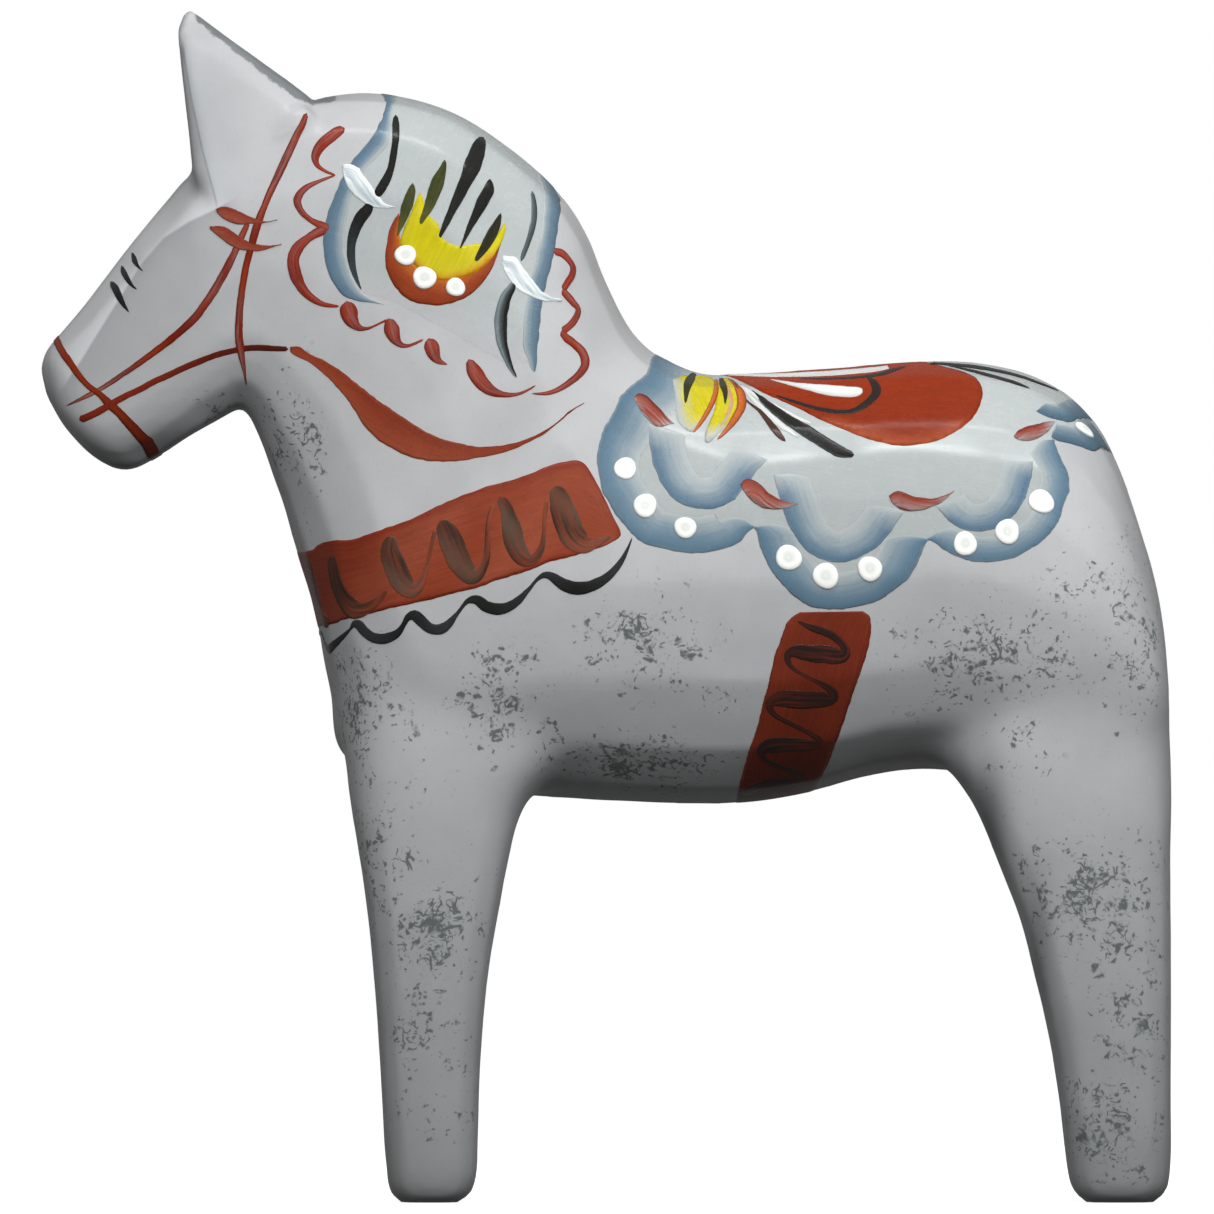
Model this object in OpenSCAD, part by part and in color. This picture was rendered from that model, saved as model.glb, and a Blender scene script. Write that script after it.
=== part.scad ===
// Carved wooden folk-art horse with painted harness, mane and saddle blanket.
// The horse faces -X and stands on Z = 0, with its middle plane at Y = 0.
// One block of pine is sawn to the side profile and carved; every painted
// ornament is a thin raised film of paint lying on the wood.

/* [Body] */
// Height from the soles to the ear tips, in mm
horse_h = 170; // [100:1:250]
// Width across the barrel, in mm
body_w = 50; // [30:1:80]
// Gap between the left and right soles, in mm
leg_gap = 12; // [8:0.5:16]
// Squareness of the neck section (2 is an ellipse)
neck_square = 3.0; // [2:0.1:4]
// Squareness of the back, from the spine down to mid height
back_square = 2.1; // [2:0.1:4]
// Squareness of the belly
belly_square = 2.4; // [2:0.1:4]
// Squareness of the chest, down to the front legs
chest_square = 3.2; // [2:0.1:4]
// Corner points round each carved section of the body
body_facets = 16; // [12:4:32]
// Corner points round each leg section
leg_facets = 12; // [12:4:24]

/* [Paint] */
// Thickness of a broad painted area, in mm
coat_t = 0.25; // [0.2:0.05:0.5]
// Thickness of a brush stroke laid on top, in mm
stroke_t = 0.4; // [0.3:0.05:0.8]
// Thickness of a raised paint dot, in mm
dot_t = 0.6; // [0.4:0.05:1]
// Corner points of a paint dot
dot_facets = 10; // [8:2:16]

/* [Hidden] */

// Everything is laid out on a drawing grid with u to the right and v down:
// v = 1201 is the ground, v = 10 the ear tips, u = 606 the middle of the length.
s = horse_h / 1191;
kw = body_w / (350 * s);
kg = leg_gap / (86 * s);
function gx(u) = (u - 606) * s;
function gz(v) = (1201 - v) * s;

// ---------- carving: sections swept through the horse ----------

// One closed ring across the chord from T (top) to B (bottom); w is the half
// width in Y, eT and eB the squareness of the two halves, g the growth.
function ring(T, B, w, eT, eB, n, g) =
    let (c = (T + B) / 2, d = (T - B) / 2, L = norm(d), q = d / L)
    [for (i = [0 : n - 1])
        let (a = 360 * i / n, ca = cos(a), sa = sin(a), e = ca >= 0 ? eT : eB,
             p = sign(ca) * pow(abs(ca), 2 / e), y = sign(sa) * pow(abs(sa), 2 / e))
        [c.x + q.x * (L + g) * p, (w + g) * y, c.y + q.y * (L + g) * p]];

// Closed solid through a list of rings.
module loft(rings) {
    n = len(rings[0]);
    m = len(rings);
    polyhedron(
        points = [for (r = rings) for (p = r) p],
        faces = concat(
            [[for (i = [n - 1 : -1 : 0]) i]],
            [for (j = [0 : m - 2]) for (i = [0 : n - 1])
                let (a = j * n + i, b = j * n + (i + 1) % n) each [[a, b, b + n], [a, b + n, a + n]]],
            [[for (i = [0 : n - 1]) (m - 1) * n + i]]),
        convexity = 6);
}

// Muzzle to rump: [u top, v top, u bottom, v bottom, half width]
trunk = [
    [ 41, 368,   47, 396,  34], [ 47, 350,   66, 428,  58], [ 59, 335,   96, 458,  72],
    [ 79, 311,  127, 470,  80], [107, 275,  161, 455,  88], [137, 237,  192, 435,  97],
    [167, 201,  221, 418, 105], [190, 175,  238, 409, 110], [236, 142,  247, 412, 113],
    [288, 110,  254, 424, 114], [335,  95,  262, 443, 115], [392,  95,  272, 472, 117],
    [457, 114,  283, 503, 121], [517, 154,  294, 541, 127], [560, 194,  303, 571, 134],
    [586, 234,  311, 598, 142], [604, 278,  318, 627, 149], [623, 317,  323, 655, 154],
    [638, 338,  327, 676, 158], [660, 356,  332, 700, 162], [703, 374,  340, 752, 165],
    [750, 374,  400, 790, 169], [800, 371,  480, 794, 171], [850, 367,  560, 798, 172],
    [900, 363,  640, 802, 173],
    [945, 361,  725, 803, 174], [985, 364,  800, 794, 175], [1028, 374, 872, 775, 175],
    [1066, 394, 930, 769, 174], [1093, 421, 990, 778, 173], [1113, 454, 1040, 785, 170],
    [1129, 494, 1085, 790, 166], [1144, 540, 1115, 788, 160], [1157, 590, 1140, 778, 152],
    [1165, 640, 1158, 755, 140], [1169, 690, 1167, 730, 118]
];
// squareness of section i of the trunk: round head, square neck, round barrel
function sq_top(i) = i < 6 ? 2.6 : i < 17 ? neck_square : i < 20 ? 2.5 : back_square;
function sq_low(i) = i < 9 ? 2.6 : i < 15 ? 2.8 : i < 22 ? chest_square : belly_square;

module trunk_solid(g) {
    loft([for (i = [0 : len(trunk) - 1]) let (t = trunk[i])
        ring([gx(t[0]), gz(t[1])], [gx(t[2]), gz(t[3])], t[4] * s * kw,
             sq_top(i), sq_low(i), body_facets, g)]);
}

// Legs: [v, u front, u back, y inside, y outside]
front_leg = [
    [1201, 398, 462, 52, 138], [1190, 392, 470, 46, 145], [1172, 387, 477, 43, 149],
    [1134, 384, 478, 42, 150], [1054, 380, 481, 41, 153], [974, 374, 488, 39, 156],
    [914, 368, 498, 35, 158], [854, 359, 510, 29, 159], [820, 353, 519, 20, 160],
    [792, 348, 533, 4, 159], [760, 344, 556, -8, 157], [700, 350, 560, -8, 150],
    [640, 372, 540, -8, 126]
];
hind_leg = [
    [1201, 1082, 1156, 50, 137], [1190, 1074, 1164, 46, 143], [1172, 1068, 1169, 43, 148],
    [1134, 1064, 1170, 42, 151], [1054, 1053, 1170, 41, 154], [974, 1035, 1170, 39, 157],
    [914, 1019, 1170, 35, 159], [854, 995, 1170, 29, 160], [820, 980, 1171, 20, 160],
    [794, 967, 1171, 4, 159], [760, 946, 1171, -8, 157], [690, 980, 1168, -8, 150],
    [620, 1010, 1158, -8, 124]
];
module leg_solid(t, side, g) {
    n = leg_facets;
    loft([for (r = t)
        let (yi = r[3] * s * kg, yo = r[4] * s * kw, y0 = (yi + yo) / 2, h = (yo - yi) / 2 + g,
             u0 = gx(r[1]) - g, u1 = gx(r[2]) + g, e = 2.9)
        [for (i = [0 : n - 1])
            let (a = -360 * i / n, ca = cos(a), sa = sin(a))
            [(u0 + u1) / 2 + (u1 - u0) / 2 * sign(ca) * pow(abs(ca), 2 / e),
             side * y0 + h * sign(sa) * pow(abs(sa), 2 / e),
             gz(r[0])]]]);
}

// One ear: a flattened pyramid that leans out from the notch in the middle.
ear = [
    [190, 19, 56], [190, 19, 68], [185, 34, 54], [201, 172, 26], [208, 188, 90],
    [303, 104, 24], [303, 104, 74], [286, 165, 98]
];
module ear_solid(side, g) {
    hull() for (p = ear)
        translate([gx(p[0]), side * p[2] * s * kw, gz(p[1])]) sphere(r = 9 * s + g, $fn = 12);
}
// Rounded brow under each ear, from the forehead back to the poll.
module brow(side, g) {
    hull() for (p = [[212, 190], [300, 122], [262, 230]], y = [20, 80])
        translate([gx(p[0]), side * y * s * kw, gz(p[1])]) sphere(r = 16 * s + g, $fn = 12);
}
// Rounded pads that soften the leg roots, left and right, front and hind.
module leg_roots(g) {
    for (y = [-1, 1]) {
        hull() for (p = [[400, 740, 112], [480, 690, 120], [470, 790, 112]])
            translate([gx(p[0]), y * p[2] * s * kw, gz(p[1])]) sphere(r = 36 * s + g, $fn = 12);
        hull() for (p = [[1060, 700, 120], [1115, 640, 112], [1110, 800, 112]])
            translate([gx(p[0]), y * p[2] * s * kw, gz(p[1])]) sphere(r = 36 * s + g, $fn = 12);
    }
}

// The whole carved horse, grown outwards by g.
module horse(g) {
    trunk_solid(g);
    for (y = [-1, 1]) {
        leg_solid(front_leg, y, g);
        leg_solid(hind_leg, y, g);
        ear_solid(y, g);
        brow(y, g);
    }
    leg_roots(g);
}

// A paint film of thickness t over the drawn shape, on both sides of the horse.
module film(t) {
    intersection() {
        rotate([90, 0, 0]) linear_extrude(height = 2 * body_w, center = true, convexity = 8)
            scale([s, -s]) translate([-606, -1201]) children();
        difference() {
            union() horse(t);
            union() horse(0);
        }
    }
}

// ---------- drawing helpers ----------

function cr(a, b, c, d, t) = 0.5 * (2 * b + (c - a) * t + (2 * a - 5 * b + 4 * c - d) * t * t
    + (3 * b - a - 3 * c + d) * t * t * t);
// Smooth curve through points, k steps to each span
function curve(p, k) = let (n = len(p) - 1) concat(
    [for (i = [0 : n - 1]) for (j = [0 : k - 1])
        cr(p[max(i - 1, 0)], p[i], p[i + 1], p[min(i + 2, n)], j / k)], [p[n]]);
function side_of(p, h) = let (n = len(p) - 1)
    [for (i = [0 : n])
        let (a = p[max(i - 1, 0)], b = p[min(i + 1, n)], d = [b.x - a.x, b.y - a.y], q = d / max(norm(d), 0.001))
        [p[i].x - q.y * h * p[i].z / 2, p[i].y + q.x * h * p[i].z / 2]];
function turned(p) = [for (i = [len(p) - 1 : -1 : 0]) p[i]];

// Brush stroke through [u, v, width] points
module stroke(p, k = 1) {
    q = k > 1 ? curve(p, k) : p;
    polygon(concat(side_of(q, 1), turned(side_of(q, -1))));
}
module strokes(list, k = 1) for (p = list) stroke(p, k);
// Area between two edges
module area(a, b) polygon(concat(a, turned(b)));
module dot(d) translate([d[0], d[1]]) circle(r = d[2], $fn = dot_facets);

// ---------- the ornaments, on the drawing grid ----------

// Mane: pale field, blue locks, dark lines, white feathers, red scroll
lock_l = [[381, 85], [384, 107], [378, 132], [362, 155], [344, 178], [331, 206], [324, 240], [329, 272], [344, 296], [372, 305]];
lock_l_in = [[402, 85], [401, 107], [394, 132], [380, 155], [364, 178], [351, 206], [344, 240], [349, 272], [362, 290], [372, 300]];
lock_r = [[553, 176], [560, 207], [556, 240], [548, 280], [541, 320], [537, 360], [533, 375]];
lock_r_in = [[536, 176], [542, 207], [538, 240], [531, 280], [526, 320], [526, 360], [532, 375]];
module d_panel() polygon(concat(lock_l, [[400, 318], [450, 345], [490, 372], [533, 378]], turned(lock_r), [[480, 100], [430, 85]]));
module d_locks() { area(lock_l, lock_l_in); area(lock_r, lock_r_in); }
module d_lines() strokes([
    [[394, 116, 5], [395, 138, 8], [392, 162, 7], [380, 196, 9]],
    [[368, 205, 12], [354, 236, 11], [352, 262, 9], [361, 289, 2]],
    [[532, 192, 5], [533, 220, 5], [522, 260, 5]],
    [[508, 283, 7], [500, 310, 9], [503, 340, 7], [520, 378, 2]]]);
module d_feathers() strokes([
    [[350, 167, 8], [356, 177, 16], [368, 193, 13], [397, 208, 2]],
    [[505, 261, 7], [513, 272, 13], [528, 287, 11], [555, 301, 2]]]);
module d_scroll() strokes([
    [[347, 130, 10], [330, 139, 11], [316, 156, 7], [318, 168, 4], [337, 176, 2]],
    [[333, 177, 2], [308, 187, 5], [298, 202, 6], [306, 218, 5], [321, 229, 6]],
    [[320, 232, 6], [300, 246, 9], [293, 265, 12], [302, 285, 10], [318, 300, 6], [336, 306, 3]],
    [[348, 303, 13], [350, 316, 12], [357, 328, 7], [370, 329, 2]],
    [[390, 321, 9], [395, 335, 12], [403, 346, 5], [416, 345, 2]],
    [[429, 342, 9], [434, 353, 11], [440, 363, 5], [448, 365, 2]],
    [[471, 363, 8], [478, 378, 9], [490, 390, 8], [510, 396, 4], [530, 391, 2]],
    [[536, 395, 3], [562, 386, 5], [582, 368, 8], [582, 348, 7], [566, 335, 8]],
    [[566, 327, 6], [577, 310, 7], [567, 295, 7]],
    [[567, 285, 6], [574, 267, 7], [567, 254, 8], [558, 251, 8]]]);

// Flower in the mane
module d_cup() polygon([[398, 218], [388, 238], [385, 262], [396, 287], [420, 304], [452, 304], [476, 289], [497, 255], [509, 224],
    [488, 246], [470, 268], [448, 278], [424, 268], [408, 252], [402, 236]]);
module d_petals() polygon([[402, 238], [410, 220], [424, 192], [424, 226], [437, 222], [446, 240], [460, 247], [478, 243],
    [492, 232], [509, 224], [497, 250], [476, 268], [448, 280], [424, 270], [408, 254]]);
module d_seeds() strokes([
    [[413, 184, 3], [410, 205, 9], [399, 238, 2]],
    [[445, 163, 4], [435, 192, 10], [419, 232, 2]],
    [[482, 140, 6], [471, 166, 17], [455, 203, 10], [437, 245, 2]],
    [[490, 180, 4], [484, 202, 11], [460, 252, 2]],
    [[501, 215, 3], [488, 238, 9], [468, 271, 2]]]);
module d_flower_dots() for (d = [[406, 257, 10], [424, 279, 10], [456, 287, 9]]) dot(d);

// Bridle, bow on the cheek, strokes on the nose, sash under the throat
module d_bridle() {
    strokes([
        [[308, 115, 4], [298, 140, 8], [273, 200, 7], [256, 240, 7], [246, 280, 6], [240, 333, 6], [242, 364, 5], [247, 387, 2]],
        [[249, 226, 5], [236, 254, 6], [213, 295, 7], [183, 333, 7], [145, 362, 6], [105, 387, 5], [67, 406, 2]],
        [[79, 421, 7], [108, 405, 7], [165, 378, 6], [205, 361, 6], [235, 352, 6], [284, 349, 6]],
        [[40, 310, 8], [62, 354, 8], [97, 394, 8], [125, 422, 9], [165, 467, 11]]]);
}
module d_bow() strokes([
    [[217, 211, 4], [232, 216, 11], [254, 223, 6], [279, 220, 2]],
    [[210, 228, 4], [230, 236, 10], [250, 246, 10], [283, 244, 2]]]);
module d_nose() strokes([
    [[132, 253, 3], [136, 261, 4], [144, 271, 2]],
    [[122, 265, 4], [128, 276, 7], [138, 290, 2]],
    [[111, 282, 5], [118, 292, 8], [130, 312, 2]]]);
module d_sash() stroke([[291, 350, 4], [320, 366, 10], [352, 391, 24], [386, 424, 38], [420, 445, 33], [456, 453, 18],
    [500, 451, 10], [544, 437, 5], [583, 404, 2]]);

// Breast collar, its scroll and the fringe line under it
module d_collar() area(
    [[280, 556], [315, 548], [350, 540], [412, 518], [452, 499], [500, 482], [545, 467], [577, 461], [596, 478], [621, 533]],
    [[300, 634], [340, 623], [385, 611], [435, 599], [485, 585], [528, 572], [565, 559], [595, 551], [612, 542], [621, 534]]);
module d_collar_scroll() strokes([
    [[331, 556, 8], [337, 578, 14], [350, 600, 13], [378, 601, 3]],
    [[393, 536, 9], [397, 562, 15], [410, 586, 14], [424, 578, 6], [436, 528, 3]],
    [[446, 521, 12], [456, 549, 15], [474, 572, 14], [487, 553, 6], [498, 504, 4]],
    [[503, 502, 7], [516, 532, 15], [530, 556, 13], [542, 543, 6], [551, 494, 3]],
    [[556, 490, 10], [570, 518, 18], [585, 541, 17], [610, 537, 3]]]);
module d_fringe() strokes([
    [[310, 626, 4], [330, 647, 8], [350, 631, 3]],
    [[354, 626, 9], [378, 640, 8], [399, 633, 6], [409, 618, 4]],
    [[414, 616, 8], [434, 629, 9], [453, 621, 5], [466, 602, 4]],
    [[473, 599, 7], [496, 609, 10], [522, 599, 6], [538, 581, 4]],
    [[547, 577, 7], [574, 588, 10], [604, 579, 8], [632, 539, 2]]]);

// Saddle blanket: three scallops a side and one over the rump
blanket_edge = [[650, 345], [644, 373], [620, 397], [602, 432], [598, 470], [612, 510], [634, 536], [662, 549], [700, 551], [738, 543],
    [754, 528], [762, 552], [780, 580], [802, 602], [832, 609], [868, 604], [900, 580], [920, 555], [927, 539],
    [950, 553], [985, 561], [1020, 555], [1048, 535], [1061, 508], [1067, 482], [1057, 455], [1050, 439], [1080, 445], [1112, 455]];
band_in_1 = [[672, 345], [664, 373], [640, 399], [622, 436], [618, 470], [630, 498], [648, 519], [668, 531], [700, 533], [726, 528], [746, 510],
    [768, 520], [782, 552], [798, 572], [816, 584], [836, 589], [862, 584], [884, 566], [902, 542], [912, 518],
    [934, 530], [960, 539], [986, 542], [1014, 537], [1032, 522], [1042, 500], [1046, 476], [1040, 452], [1050, 439], [1080, 433], [1112, 432]];
module d_blanket() polygon(concat(blanket_edge, [[1112, 340], [650, 340]]));
module d_scallops() {
    area(blanket_edge, turned(turned(band_in_1)));
    strokes([
        [[656, 428, 10], [664, 464, 18], [690, 492, 19], [722, 496, 15], [750, 480, 8], [766, 463, 2]],
        [[778, 476, 8], [788, 510, 14], [812, 542, 19], [840, 550, 20], [872, 538, 17], [894, 512, 10]],
        [[944, 508, 10], [962, 518, 16], [984, 522, 18], [1008, 508, 18], [1022, 484, 14], [1028, 463, 6]]]);
}
module d_blanket_dots() for (d = [[625, 469, 11], [645, 506, 12], [686, 527, 11], [789, 558, 13], [825, 576, 12],
    [869, 569, 12], [964, 543, 12], [1006, 532, 12], [1040, 501, 13], [1085, 430, 8]]) dot(d);
module d_tassels() strokes([
    [[636, 398, 7], [650, 410, 11], [674, 424, 2]],
    [[741, 485, 8], [755, 494, 16], [774, 504, 12], [797, 505, 2]],
    [[889, 498, 9], [903, 502, 15], [928, 503, 10], [953, 491, 2]],
    [[1013, 436, 7], [1030, 431, 11], [1052, 424, 3]]]);

// Seat, its white highlights and dark line, and the reeds in front and behind
module d_seat() polygon([[735, 379], [775, 397], [820, 420], [850, 435], [900, 446], [930, 441], [957, 427], [975, 407], [982, 390],
    [972, 375], [940, 364], [900, 340], [740, 340]]);
module d_highlights() {
    stroke([[768, 380, 2], [800, 386, 6], [830, 391, 9], [855, 392, 9], [862, 392, 6]]);
    polygon([[735, 376], [800, 378], [850, 377], [888, 369], [888, 340], [735, 340]]);
}
module d_seat_line() stroke([[790, 398, 2], [812, 407, 5], [840, 412, 6], [862, 406, 8], [875, 391, 9], [870, 379, 5]]);
module d_reeds() strokes([
    [[749, 391, 2], [780, 411, 9], [825, 439, 12], [850, 452, 4]],
    [[746, 400, 4], [764, 420, 6], [786, 443, 2]],
    [[985, 372, 4], [1005, 380, 5], [1028, 389, 2]]]);

// Flower on the withers
module d_withers() {
    polygon([[672, 376], [677, 400], [684, 428], [694, 434], [708, 415], [717, 394], [717, 378], [690, 372]]);
    polygon([[720, 376], [723, 398], [708, 430], [712, 441], [730, 434], [744, 416], [747, 400], [735, 380]]);
}
module d_withers_seeds() strokes([
    [[693, 377, 8], [689, 388, 8], [685, 407, 2]],
    [[722, 381, 4], [725, 391, 7], [727, 404, 2]]]);

// Girth and its scroll
module d_girth() area(
    [[797, 612], [783, 627], [773, 653], [764, 697], [752, 744], [740, 782], [735, 812]],
    [[864, 611], [870, 624], [867, 653], [852, 692], [840, 728], [826, 768], [810, 812]]);
module d_girth_scroll() strokes([
    [[796, 621, 3], [820, 631, 5], [840, 643, 6], [845, 653, 8], [816, 654, 12], [789, 657, 9]],
    [[829, 689, 5], [833, 697, 10], [800, 698, 15], [773, 702, 9]],
    [[813, 733, 5], [818, 741, 8], [790, 744, 13], [764, 748, 8]],
    [[803, 777, 7], [778, 782, 14], [748, 792, 10]]]);

// ---------- parts ----------

module carved_body() color("#B4B6B9") union() horse(0);

module mane_panel() color("#AEB6B4") film(coat_t) difference() {
    d_panel(); d_locks(); d_lines(); d_feathers(); d_cup(); d_petals(); d_seeds(); d_flower_dots(); }
module mane_locks() color("#6F93A6") film(coat_t) difference() { d_locks(); d_lines(); d_feathers(); d_scroll(); }
module mane_lock_lines() color("#26241F") film(stroke_t) difference() { d_lines(); d_feathers(); }
module mane_feathers() color("#E4ECEB") film(stroke_t) d_feathers();
module mane_scroll() color("#8C2E18") film(stroke_t) d_scroll();
module flower_cup() color("#A8481F") film(coat_t) difference() { d_cup(); d_petals(); d_seeds(); d_flower_dots(); }
module flower_petals() color("#C4B710") film(coat_t) difference() { d_petals(); d_seeds(); d_flower_dots(); }
module flower_seeds() color("#1F1D1B") film(stroke_t) difference() { d_seeds(); d_flower_dots(); }
module flower_dots() color("#F3F3EC") film(dot_t) d_flower_dots();
module bridle_straps() color("#7E2A14") film(stroke_t) difference() { d_bridle(); d_bow(); }
module bridle_bow() color("#93412E") film(stroke_t) d_bow();
module nose_strokes() color("#23241F") film(stroke_t) d_nose();
module neck_sash() color("#93412E") film(stroke_t) d_sash();
module breast_collar() color("#8E3A22") film(coat_t) difference() { d_collar(); d_collar_scroll(); }
module collar_scroll() color("#4E3A31") film(stroke_t) d_collar_scroll();
module collar_fringe() color("#2C2E2D") film(stroke_t) difference() { d_fringe(); d_collar(); d_scallops(); }
module saddle_blanket() color("#B2B9B8") film(coat_t) difference() {
    d_blanket(); d_scallops(); d_blanket_dots(); d_tassels(); d_seat(); d_highlights(); d_reeds(); d_withers(); d_withers_seeds(); }
module blanket_scallops() color("#6F93A6") film(coat_t) difference() { d_scallops(); d_blanket_dots(); d_tassels(); d_girth(); }
module blanket_dots() color("#F3F3EC") film(dot_t) d_blanket_dots();
module blanket_tassels() color("#8C2E18") film(stroke_t) d_tassels();
module saddle_seat() color("#8F2D0C") film(coat_t) difference() { d_seat(); d_highlights(); d_seat_line(); d_reeds(); d_withers(); }
module seat_highlights() color("#F0F0EA") film(stroke_t) difference() { d_highlights(); d_withers(); d_withers_seeds(); }
module seat_line() color("#4A1A0F") film(stroke_t) difference() { d_seat_line(); d_highlights(); }
module saddle_reeds() color("#22221F") film(stroke_t) d_reeds();
module withers_petals() color("#D0BE14") film(coat_t) difference() { d_withers(); d_withers_seeds(); }
module withers_seeds() color("#3C3A16") film(stroke_t) d_withers_seeds();
module girth_band() color("#8A2F1B") film(coat_t) difference() { d_girth(); d_girth_scroll(); }
module girth_scroll() color("#33190F") film(stroke_t) d_girth_scroll();

carved_body();
mane_panel();
mane_locks();
mane_lock_lines();
mane_feathers();
mane_scroll();
flower_cup();
flower_petals();
flower_seeds();
flower_dots();
bridle_straps();
bridle_bow();
nose_strokes();
neck_sash();
breast_collar();
collar_scroll();
collar_fringe();
saddle_blanket();
blanket_scallops();
blanket_dots();
blanket_tassels();
saddle_seat();
seat_highlights();
seat_line();
saddle_reeds();
withers_petals();
withers_seeds();
girth_band();
girth_scroll();
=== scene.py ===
import math
import bpy
import bmesh
import numpy as np
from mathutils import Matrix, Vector
from mathutils.bvhtree import BVHTree
from mathutils.noise import noise as fractal
from mathutils.geometry import delaunay_2d_cdt


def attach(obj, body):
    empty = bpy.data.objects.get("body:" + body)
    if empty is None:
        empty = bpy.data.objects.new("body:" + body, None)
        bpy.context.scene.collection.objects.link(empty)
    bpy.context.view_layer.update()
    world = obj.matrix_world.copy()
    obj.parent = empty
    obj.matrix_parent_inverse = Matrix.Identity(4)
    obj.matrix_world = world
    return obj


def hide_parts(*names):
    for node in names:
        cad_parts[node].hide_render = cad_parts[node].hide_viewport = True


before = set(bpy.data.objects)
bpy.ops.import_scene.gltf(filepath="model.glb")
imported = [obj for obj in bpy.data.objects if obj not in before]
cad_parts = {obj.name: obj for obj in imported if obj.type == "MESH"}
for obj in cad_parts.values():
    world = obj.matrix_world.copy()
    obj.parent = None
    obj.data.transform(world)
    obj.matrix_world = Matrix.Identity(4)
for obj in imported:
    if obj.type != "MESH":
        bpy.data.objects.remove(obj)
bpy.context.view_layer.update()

# ------------------------------------------------------------------ drawing grid
# The same grid as the design: u to the right, v down, v = 1201 on the ground.
S = 0.170 / 1191
MM = 0.001


def X(u):
    return (np.asarray(u, float) - 606) * S


def Z(v):
    return (1201 - np.asarray(v, float)) * S


RNG = np.random.default_rng(7)


def noise1(t, seed, step=1.0):
    """Smooth value noise in -1..1 along t."""
    r = np.random.default_rng(seed).uniform(-1, 1, 512)
    x = np.asarray(t, float) / step + 37.3
    i = np.floor(x).astype(int)
    f = x - i
    f = f * f * (3 - 2 * f)
    return r[i % 512] * (1 - f) + r[(i + 1) % 512] * f


def srgb(r, g, b):
    c = np.array([r, g, b], float) / 255
    return np.where(c <= 0.04045, c / 12.92, ((c + 0.055) / 1.055) ** 2.4)


def catmull(P, k):
    """Catmull-Rom through rows of P, k steps to each span."""
    P = np.asarray(P, float)
    n = len(P)
    out = []
    for i in range(n - 1):
        a, b, c, d = P[max(i - 1, 0)], P[i], P[i + 1], P[min(i + 2, n - 1)]
        for j in range(k):
            t = j / k
            out.append(0.5 * (2 * b + (c - a) * t + (2 * a - 5 * b + 4 * c - d) * t * t + (3 * b - a - 3 * c + d) * t ** 3))
    out.append(P[-1])
    return np.array(out)


def resample(P, step, power=None):
    """Points along polyline P (any number of columns, the first cols are the place), about step apart."""
    P = np.asarray(P, float)
    dims = power or 2
    d = np.linalg.norm(np.diff(P[:, :dims], axis=0), axis=1)
    L = np.concatenate([[0], np.cumsum(d)])
    n = max(int(round(L[-1] / step)), 2)
    t = np.linspace(0, L[-1], n + 1)
    return np.stack([np.interp(t, L, P[:, k]) for k in range(P.shape[1])], axis=1)


# ------------------------------------------------------------------ the carved body
TRUNK = [
    [41, 368, 47, 396, 34], [47, 350, 66, 428, 58], [59, 335, 96, 458, 72],
    [79, 311, 127, 470, 80], [107, 275, 161, 455, 88], [137, 237, 192, 435, 97],
    [167, 201, 221, 418, 105], [190, 175, 238, 409, 110], [236, 142, 247, 412, 113],
    [288, 110, 254, 424, 114], [335, 95, 262, 443, 115], [392, 95, 272, 472, 117],
    [457, 114, 283, 503, 121], [517, 154, 294, 541, 127], [560, 194, 303, 571, 134],
    [586, 234, 311, 598, 142], [604, 278, 318, 627, 149], [623, 317, 323, 655, 154],
    [638, 338, 327, 676, 158], [660, 356, 332, 700, 162], [703, 374, 340, 752, 165],
    [750, 374, 400, 790, 169], [800, 371, 480, 794, 171], [850, 367, 560, 798, 172],
    [900, 363, 640, 802, 173], [945, 361, 725, 803, 174], [985, 364, 800, 794, 175],
    [1028, 374, 872, 775, 175], [1066, 394, 930, 769, 174], [1093, 421, 990, 778, 173],
    [1113, 454, 1040, 785, 170], [1129, 494, 1085, 790, 166], [1144, 540, 1115, 788, 160],
    [1157, 590, 1140, 778, 152], [1165, 640, 1158, 755, 140], [1169, 690, 1167, 730, 118],
]
SQ_TOP = [2.6] * 6 + [3.0] * 11 + [2.5] * 3 + [2.1] * 16
SQ_LOW = [2.6] * 9 + [2.8] * 6 + [3.2] * 7 + [2.4] * 14
SPAN = 6
rows = catmull(np.array(TRUNK, float), SPAN)
ks = np.linspace(0, len(TRUNK) - 1, len(rows))
e_top = np.interp(ks, range(len(TRUNK)), np.convolve(np.pad(SQ_TOP, 1, "edge"), [0.25, 0.5, 0.25], "valid"))
e_low = np.interp(ks, range(len(TRUNK)), np.convolve(np.pad(SQ_LOW, 1, "edge"), [0.25, 0.5, 0.25], "valid"))
TOP = np.stack([X(rows[:, 0]), Z(rows[:, 1])], axis=1)
LOW = np.stack([X(rows[:, 2]), Z(rows[:, 3])], axis=1)
HALF_W = rows[:, 4] * S
MID = (TOP + LOW) / 2
HALF_L = np.linalg.norm(TOP - LOW, axis=1) / 2
DIR = (TOP - LOW) / (2 * HALF_L[:, None])


HEAD_A = np.radians([0, 24, 50, 90, 124, 154, 180])
HEAD_P = np.array([1.0, 0.985, 0.70, 0.0, -0.64, -0.97, -1.0])
HEAD_Y = np.array([0.0, 0.50, 0.965, 1.0, 0.95, 0.50, 0.0])


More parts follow.
